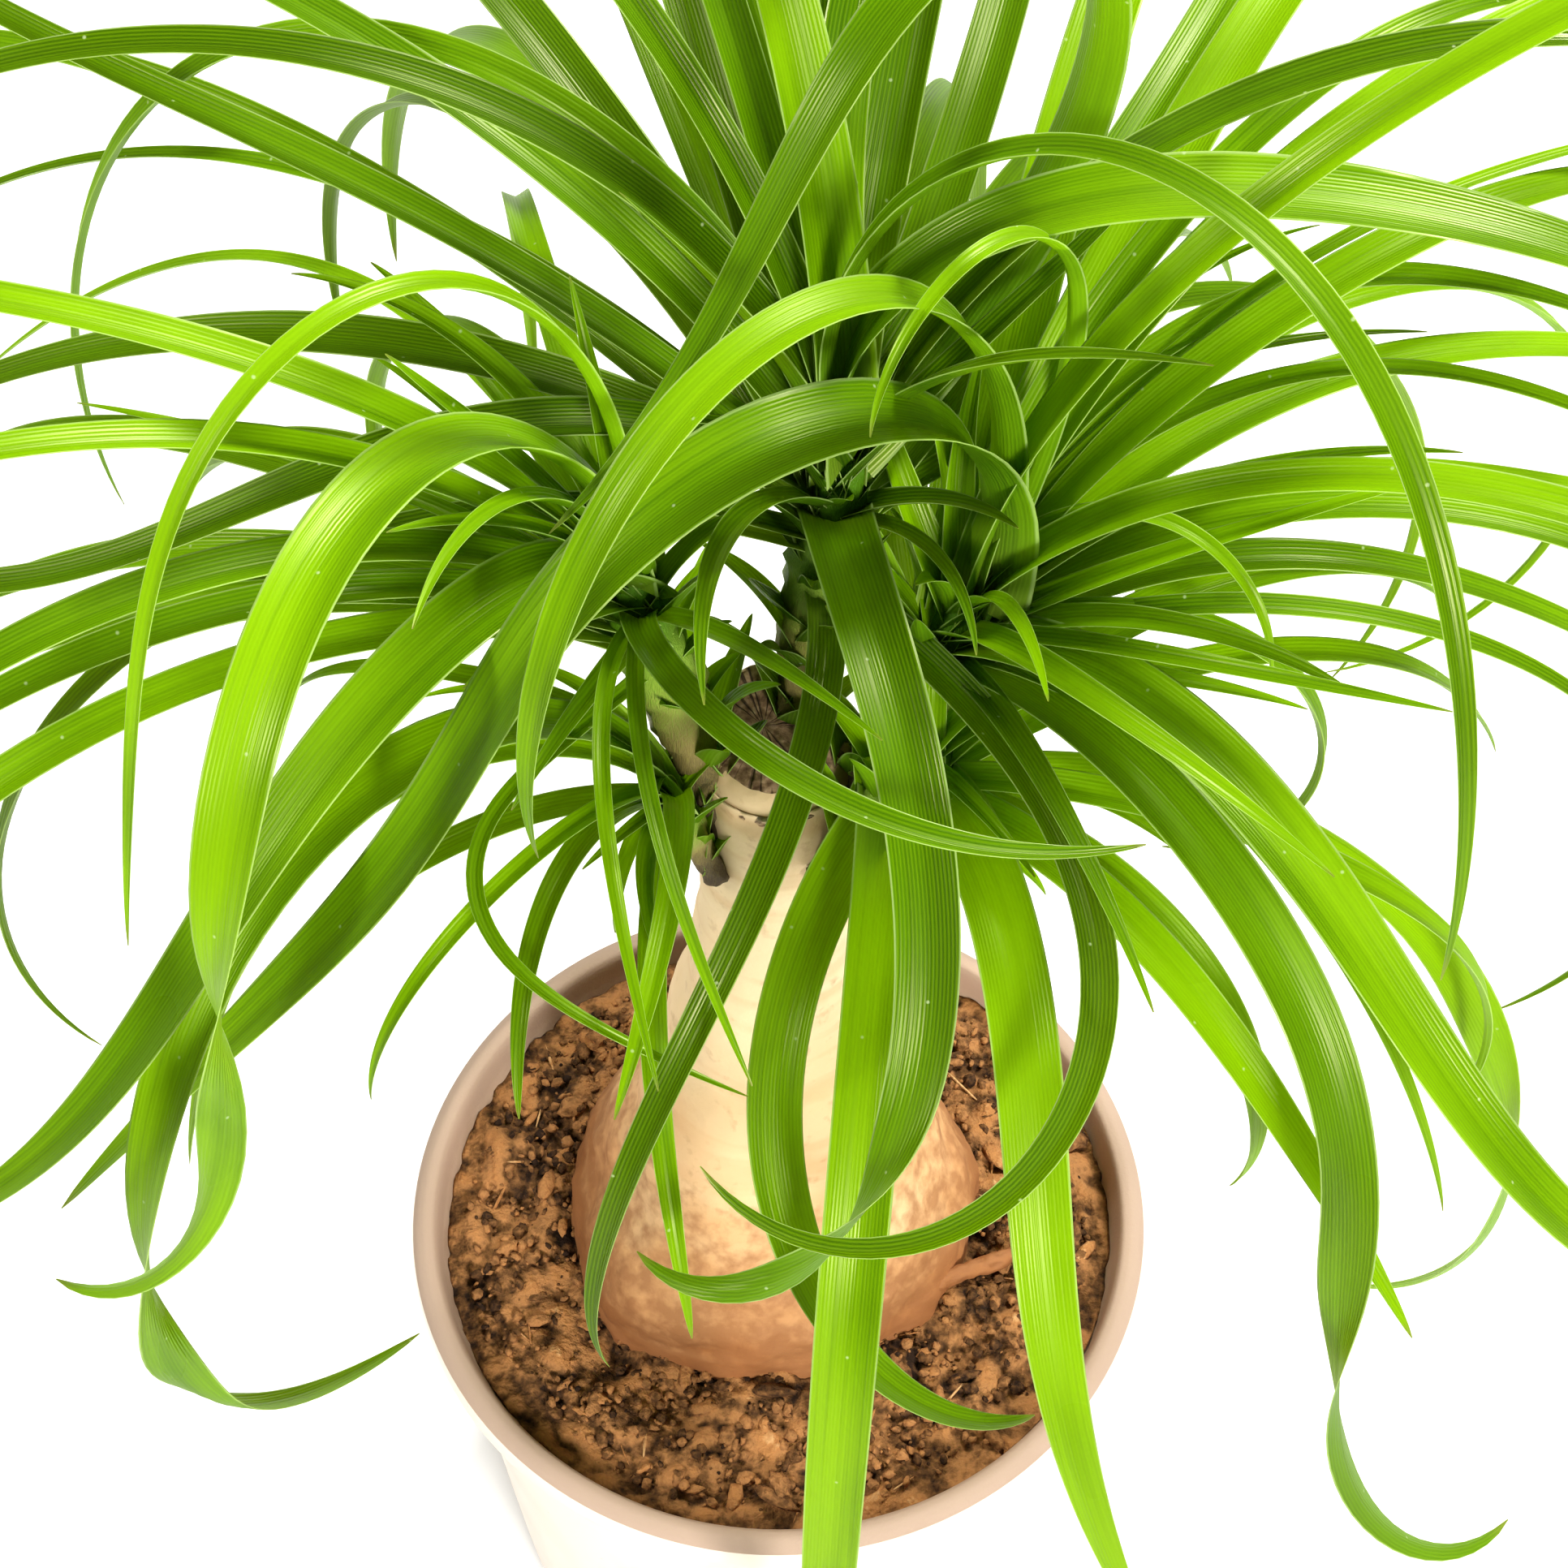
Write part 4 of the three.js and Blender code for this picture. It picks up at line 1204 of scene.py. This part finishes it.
def clasping_bases(head, draw):
    """Bases that old leaves left round the stem, each with the place on it where it is rooted."""
    foot, crown = np.array(head["foot"], float), np.array(head["crown"], float)
    slim = head.get("slim", 1)
    count = int(np.linalg.norm(crown - foot) / BASE_SPACING)
    bases = []
    for k in range(count):
        share = lerp(0.12, 0.95, k / count)
        # Leaves follow one another round the stem by the golden angle
        turn = GOLDEN_ANGLE * k + lerp(-15, 15, next(draw))
        start = lerp(72, 80, next(draw))
        rise = [start, start - 12, start - lerp(10, 50, next(draw))]
        length, width = slim * lerp(22, 40, next(draw)), slim * lerp(7, 10, next(draw))
        base = leaf([turn, turn], rise, length, width, taper=YOUNG_TAPER)
        bases.append(({"crown": foot + share * (crown - foot), "foot": foot, "leaf_span": 0}, base))
    return bases


def build_head(name, head, leaves, materials):
    """One leaf head: its stem, the old leaf bases on it, and its leaves."""
    # Each head has draws of its own
    draw = draws_from(len(name) * 31 + len(leaves))
    verts, faces, sheath_tone = stem(head)
    parts = [(verts, faces)]
    blades, places = [np.zeros_like(verts)], [np.zeros_like(verts)]
    tones = [sheath_tone]
    rooted = [(head, grown) for grown in leaves] + clasping_bases(head, draw)
    for number, (root, grown) in enumerate(rooted):
        leaf_verts, leaf_faces, leaf_blade, leaf_place = blade(root, grown, number)
        parts.append((leaf_verts, leaf_faces))
        blades.append(leaf_blade)
        places.append(leaf_place)
        tones.append(np.full(len(leaf_verts), leaf_tone(name, grown, draw)))
    whole_verts, whole_faces = merge(parts)
    values = {
        "blade": np.concatenate(blades),
        "place": np.concatenate(places),
        "tone": np.concatenate(tones),
    }
    piece = make_piece(name.replace("head", "leaves"), whole_verts, whole_faces, materials, values)
    kinds = np.zeros(len(whole_faces), int)
    kinds[: len(faces)] = 1
    piece.data.polygons.foreach_set("material_index", kinds)
    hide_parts(name)


# Stage

# Where the photograph was taken from, in millimetres and degrees
CAMERA_PLACE = (1.3, -366.0, 813.2)
CAMERA_PITCH = 53.72
CAMERA_FOCAL = 4000 / 1932
SENSOR = 36.0
# Middle of the plant, in metres, where every light is aimed
LIGHT_AIM = (0, 0, 0.28)


def build_stage(settings):
    """Floor, camera, softboxes and even surrounding light."""
    scene = bpy.context.scene
    size = settings.floor_size
    mesh = bpy.data.meshes.new("floor")
    corners = [(-size, -size, 0), (size, -size, 0), (size, size, 0), (-size, size, 0)]
    mesh.from_pydata(corners, [], [(0, 1, 2, 3)])
    mesh.materials.append(studio_paper(settings))
    floor = bpy.data.objects.new("floor", mesh)
    scene.collection.objects.link(floor)

    camera = bpy.data.cameras.new("camera")
    camera.sensor_width = SENSOR
    camera.lens = CAMERA_FOCAL * SENSOR
    camera.clip_start = 0.01
    holder = bpy.data.objects.new("camera", camera)
    holder.location = Vector(CAMERA_PLACE) * MM
    holder.rotation_euler = (math.radians(90 - CAMERA_PITCH), 0, 0)
    scene.collection.objects.link(holder)
    scene.camera = holder

    # Name, place and width in metres, and power of each softbox
    lights = (
        ("key", (0.85, 0.95, 1.8), 0.55, settings.key_power),
        ("left_softbox", (-1.2, -0.35, 1.25), 0.35, settings.left_power),
        ("front_softbox", (0.55, -1.45, 0.95), 0.35, settings.front_power),
    )
    for name, place, width, power in lights:
        lamp = bpy.data.lights.new(name, "AREA")
        lamp.energy = power
        lamp.size = width
        placed = bpy.data.objects.new(name, lamp)
        placed.location = place
        aim = Vector(LIGHT_AIM) - Vector(place)
        placed.rotation_euler = aim.to_track_quat("-Z", "Y").to_euler()
        scene.collection.objects.link(placed)

    world = bpy.data.worlds.new("studio")
    world.use_nodes = True
    world.node_tree.nodes.clear()
    air = {"Color": linear("#ffffff"), "Strength": settings.sky_strength}
    backdrop = add(world.node_tree, "Background", air)
    add(world.node_tree, "OutputWorld", {"Surface": backdrop})
    scene.world = world
    scene.view_settings.view_transform = "Standard"
    scene.view_settings.look = "Medium High Contrast"


# Settings and operators


def colour_setting(name, description, code):
    return bpy.props.FloatVectorProperty(
        name=name,
        description=description,
        subtype="COLOR",
        size=3,
        min=0,
        max=1,
        default=linear(code)[:3],
    )


def number_setting(name, description, default, **limits):
    """A number that stays at 0 or above unless its limits say otherwise."""
    limits = {"min": 0, "default": default} | limits
    return bpy.props.FloatProperty(name=name, description=description, **limits)


def share_setting(name, description, default):
    return number_setting(name, description, default, max=1, subtype="FACTOR")


class PotSettings(bpy.types.PropertyGroup):
    glaze_colour: colour_setting("Glaze", "Colour of the glazed outside", "#ebdac9")
    clay_colour: colour_setting("Clay", "Colour of the bare rim", "#b09885")
    glaze_roughness: share_setting("Glaze roughness", "Roughness of the glaze", 0.36)


class SoilSettings(bpy.types.PropertyGroup):
    damp_colour: colour_setting("Damp", "Colour of the mix where it is damp", "#69492a")
    dry_colour: colour_setting("Dry", "Colour of the mix where it has dried", "#a37549")
    crumb_count: bpy.props.IntProperty(
        name="Crumbs", description="Number of loose crumbs", min=0, max=4000, default=1900
    )
    chip_count: bpy.props.IntProperty(
        name="Chips", description="Number of bark chips", min=0, max=400, default=90
    )
    fibre_count: bpy.props.IntProperty(
        name="Fibres", description="Number of pale fibres", min=0, max=400, default=45
    )


class TrunkSettings(bpy.types.PropertyGroup):
    low_colour: colour_setting("Low bark", "Colour of the bark near the soil", "#a87243")
    # Cream of the neck, with painted highlight
    high_colour: colour_setting("High bark", "Colour of the bark above the bulb", "#e2c093")
    cork_colour: colour_setting("Cork", "Colour of the sawn top", "#8b6f55")
    bark_relief: number_setting("Bark relief", "Height of its knobs in millimetres", 2.2, max=4)


class LeafSettings(bpy.types.PropertyGroup):
    deep_colour: colour_setting("Deep", "Colour of the darkest leaves", "#2c4e00")
    leaf_colour: colour_setting("Leaf", "Colour of most leaves", "#547d00")
    # The palest leaves: young ones, and those with painted light
    young_and_lit_colour: colour_setting("Young", "Colour of the youngest leaves", "#8cb603")
    vein_colour: colour_setting("Vein", "Colour of the raised veins", "#a4cc12")
    glow_colour: colour_setting("Glow", "Colour of light through a leaf", "#d8ee20")
    glow_share: share_setting("Glow share", "Share of light that a leaf lets through", 0.48)
    vein_contrast: share_setting("Vein contrast", "How much paler the veins are", 0.26)
    vein_spacing: number_setting("Vein spacing", "Millimetres between veins", 0.65, min=0.2, max=3)
    gloss_low: share_setting("Smoothest", "Roughness where a leaf shines most", 0.26)
    gloss_high: share_setting("Roughest", "Roughness where a leaf shines least", 0.4)


class StageSettings(bpy.types.PropertyGroup):
    floor_colour: colour_setting("Floor", "Colour of the floor", "#e2e2e0")
    floor_size: number_setting("Floor size", "Half the width of the floor", 6.0, unit="LENGTH")
    key_power: number_setting("Key", "Power of the main light", 60.0, unit="POWER")
    left_power: number_setting("Left", "Power of the left softbox", 15.0, unit="POWER")
    front_power: number_setting("Front", "Power of the front softbox", 31.0, unit="POWER")
    sky_strength: number_setting("Surround", "Strength of the even surrounding light", 0.2)


class PALM_OT_pot(bpy.types.Operator):
    """Build the glazed pot with its bare clay rim"""

    bl_idname = "palm.pot"
    bl_label = "Pot"

    def execute(self, context):
        build_pot(context.scene.palm_pot)
        return {"FINISHED"}


class PALM_OT_soil(bpy.types.Operator):
    """Build the potting mix with its clods, crumbs and chips"""

    bl_idname = "palm.soil"
    bl_label = "Potting mix"

    def execute(self, context):
        build_soil(context.scene.palm_soil)
        return {"FINISHED"}


class PALM_OT_trunk(bpy.types.Operator):
    """Build the swollen trunk with its bark and surface root"""

    bl_idname = "palm.trunk"
    bl_label = "Trunk"

    def execute(self, context):
        build_trunk(context.scene.palm_trunk)
        return {"FINISHED"}


class PALM_OT_heads(bpy.types.Operator):
    """Grow the leaf heads, with the leaves that are drawn by rule"""

    bl_idname = "palm.heads"
    bl_label = "Leaf heads"

    def execute(self, context):
        settings = context.scene.palm_leaf
        materials = [strap_leaf(settings), leaf_sheath(settings)]
        for name, leaves in grown_leaves().items():
            build_head(name, HEADS[name], leaves, materials)
        return {"FINISHED"}


class PALM_OT_stage(bpy.types.Operator):
    """Set the floor, the studio light and the camera"""

    bl_idname = "palm.stage"
    bl_label = "Stage"

    def execute(self, context):
        build_stage(context.scene.palm_stage)
        return {"FINISHED"}


OPERATORS = (PALM_OT_pot, PALM_OT_soil, PALM_OT_trunk, PALM_OT_heads, PALM_OT_stage)
SETTINGS = {
    "palm_pot": PotSettings,
    "palm_soil": SoilSettings,
    "palm_trunk": TrunkSettings,
    "palm_leaf": LeafSettings,
    "palm_stage": StageSettings,
}


class PALM_PT_panel(bpy.types.Panel):
    bl_label = "Ponytail Palm"
    bl_idname = "PALM_PT_panel"
    bl_space_type = "VIEW_3D"
    bl_region_type = "UI"
    bl_category = "Palm"

    def draw(self, context):
        for operator, group in zip(OPERATORS, SETTINGS):
            box = self.layout.box()
            box.operator(operator.bl_idname)
            settings = getattr(context.scene, group)
            for key in SETTINGS[group].__annotations__:
                box.prop(settings, key)


def register():
    for item in (*SETTINGS.values(), *OPERATORS, PALM_PT_panel):
        bpy.utils.register_class(item)
    for name, group in SETTINGS.items():
        setattr(bpy.types.Scene, name, bpy.props.PointerProperty(type=group))


def unregister():
    for name in SETTINGS:
        delattr(bpy.types.Scene, name)
    for item in reversed((*SETTINGS.values(), *OPERATORS, PALM_PT_panel)):
        bpy.utils.unregister_class(item)


def main():
    register()
    bpy.ops.palm.pot()
    bpy.ops.palm.soil()
    bpy.ops.palm.trunk()
    bpy.ops.palm.heads()
    bpy.ops.palm.stage()


if __name__ == "__main__":
    main()
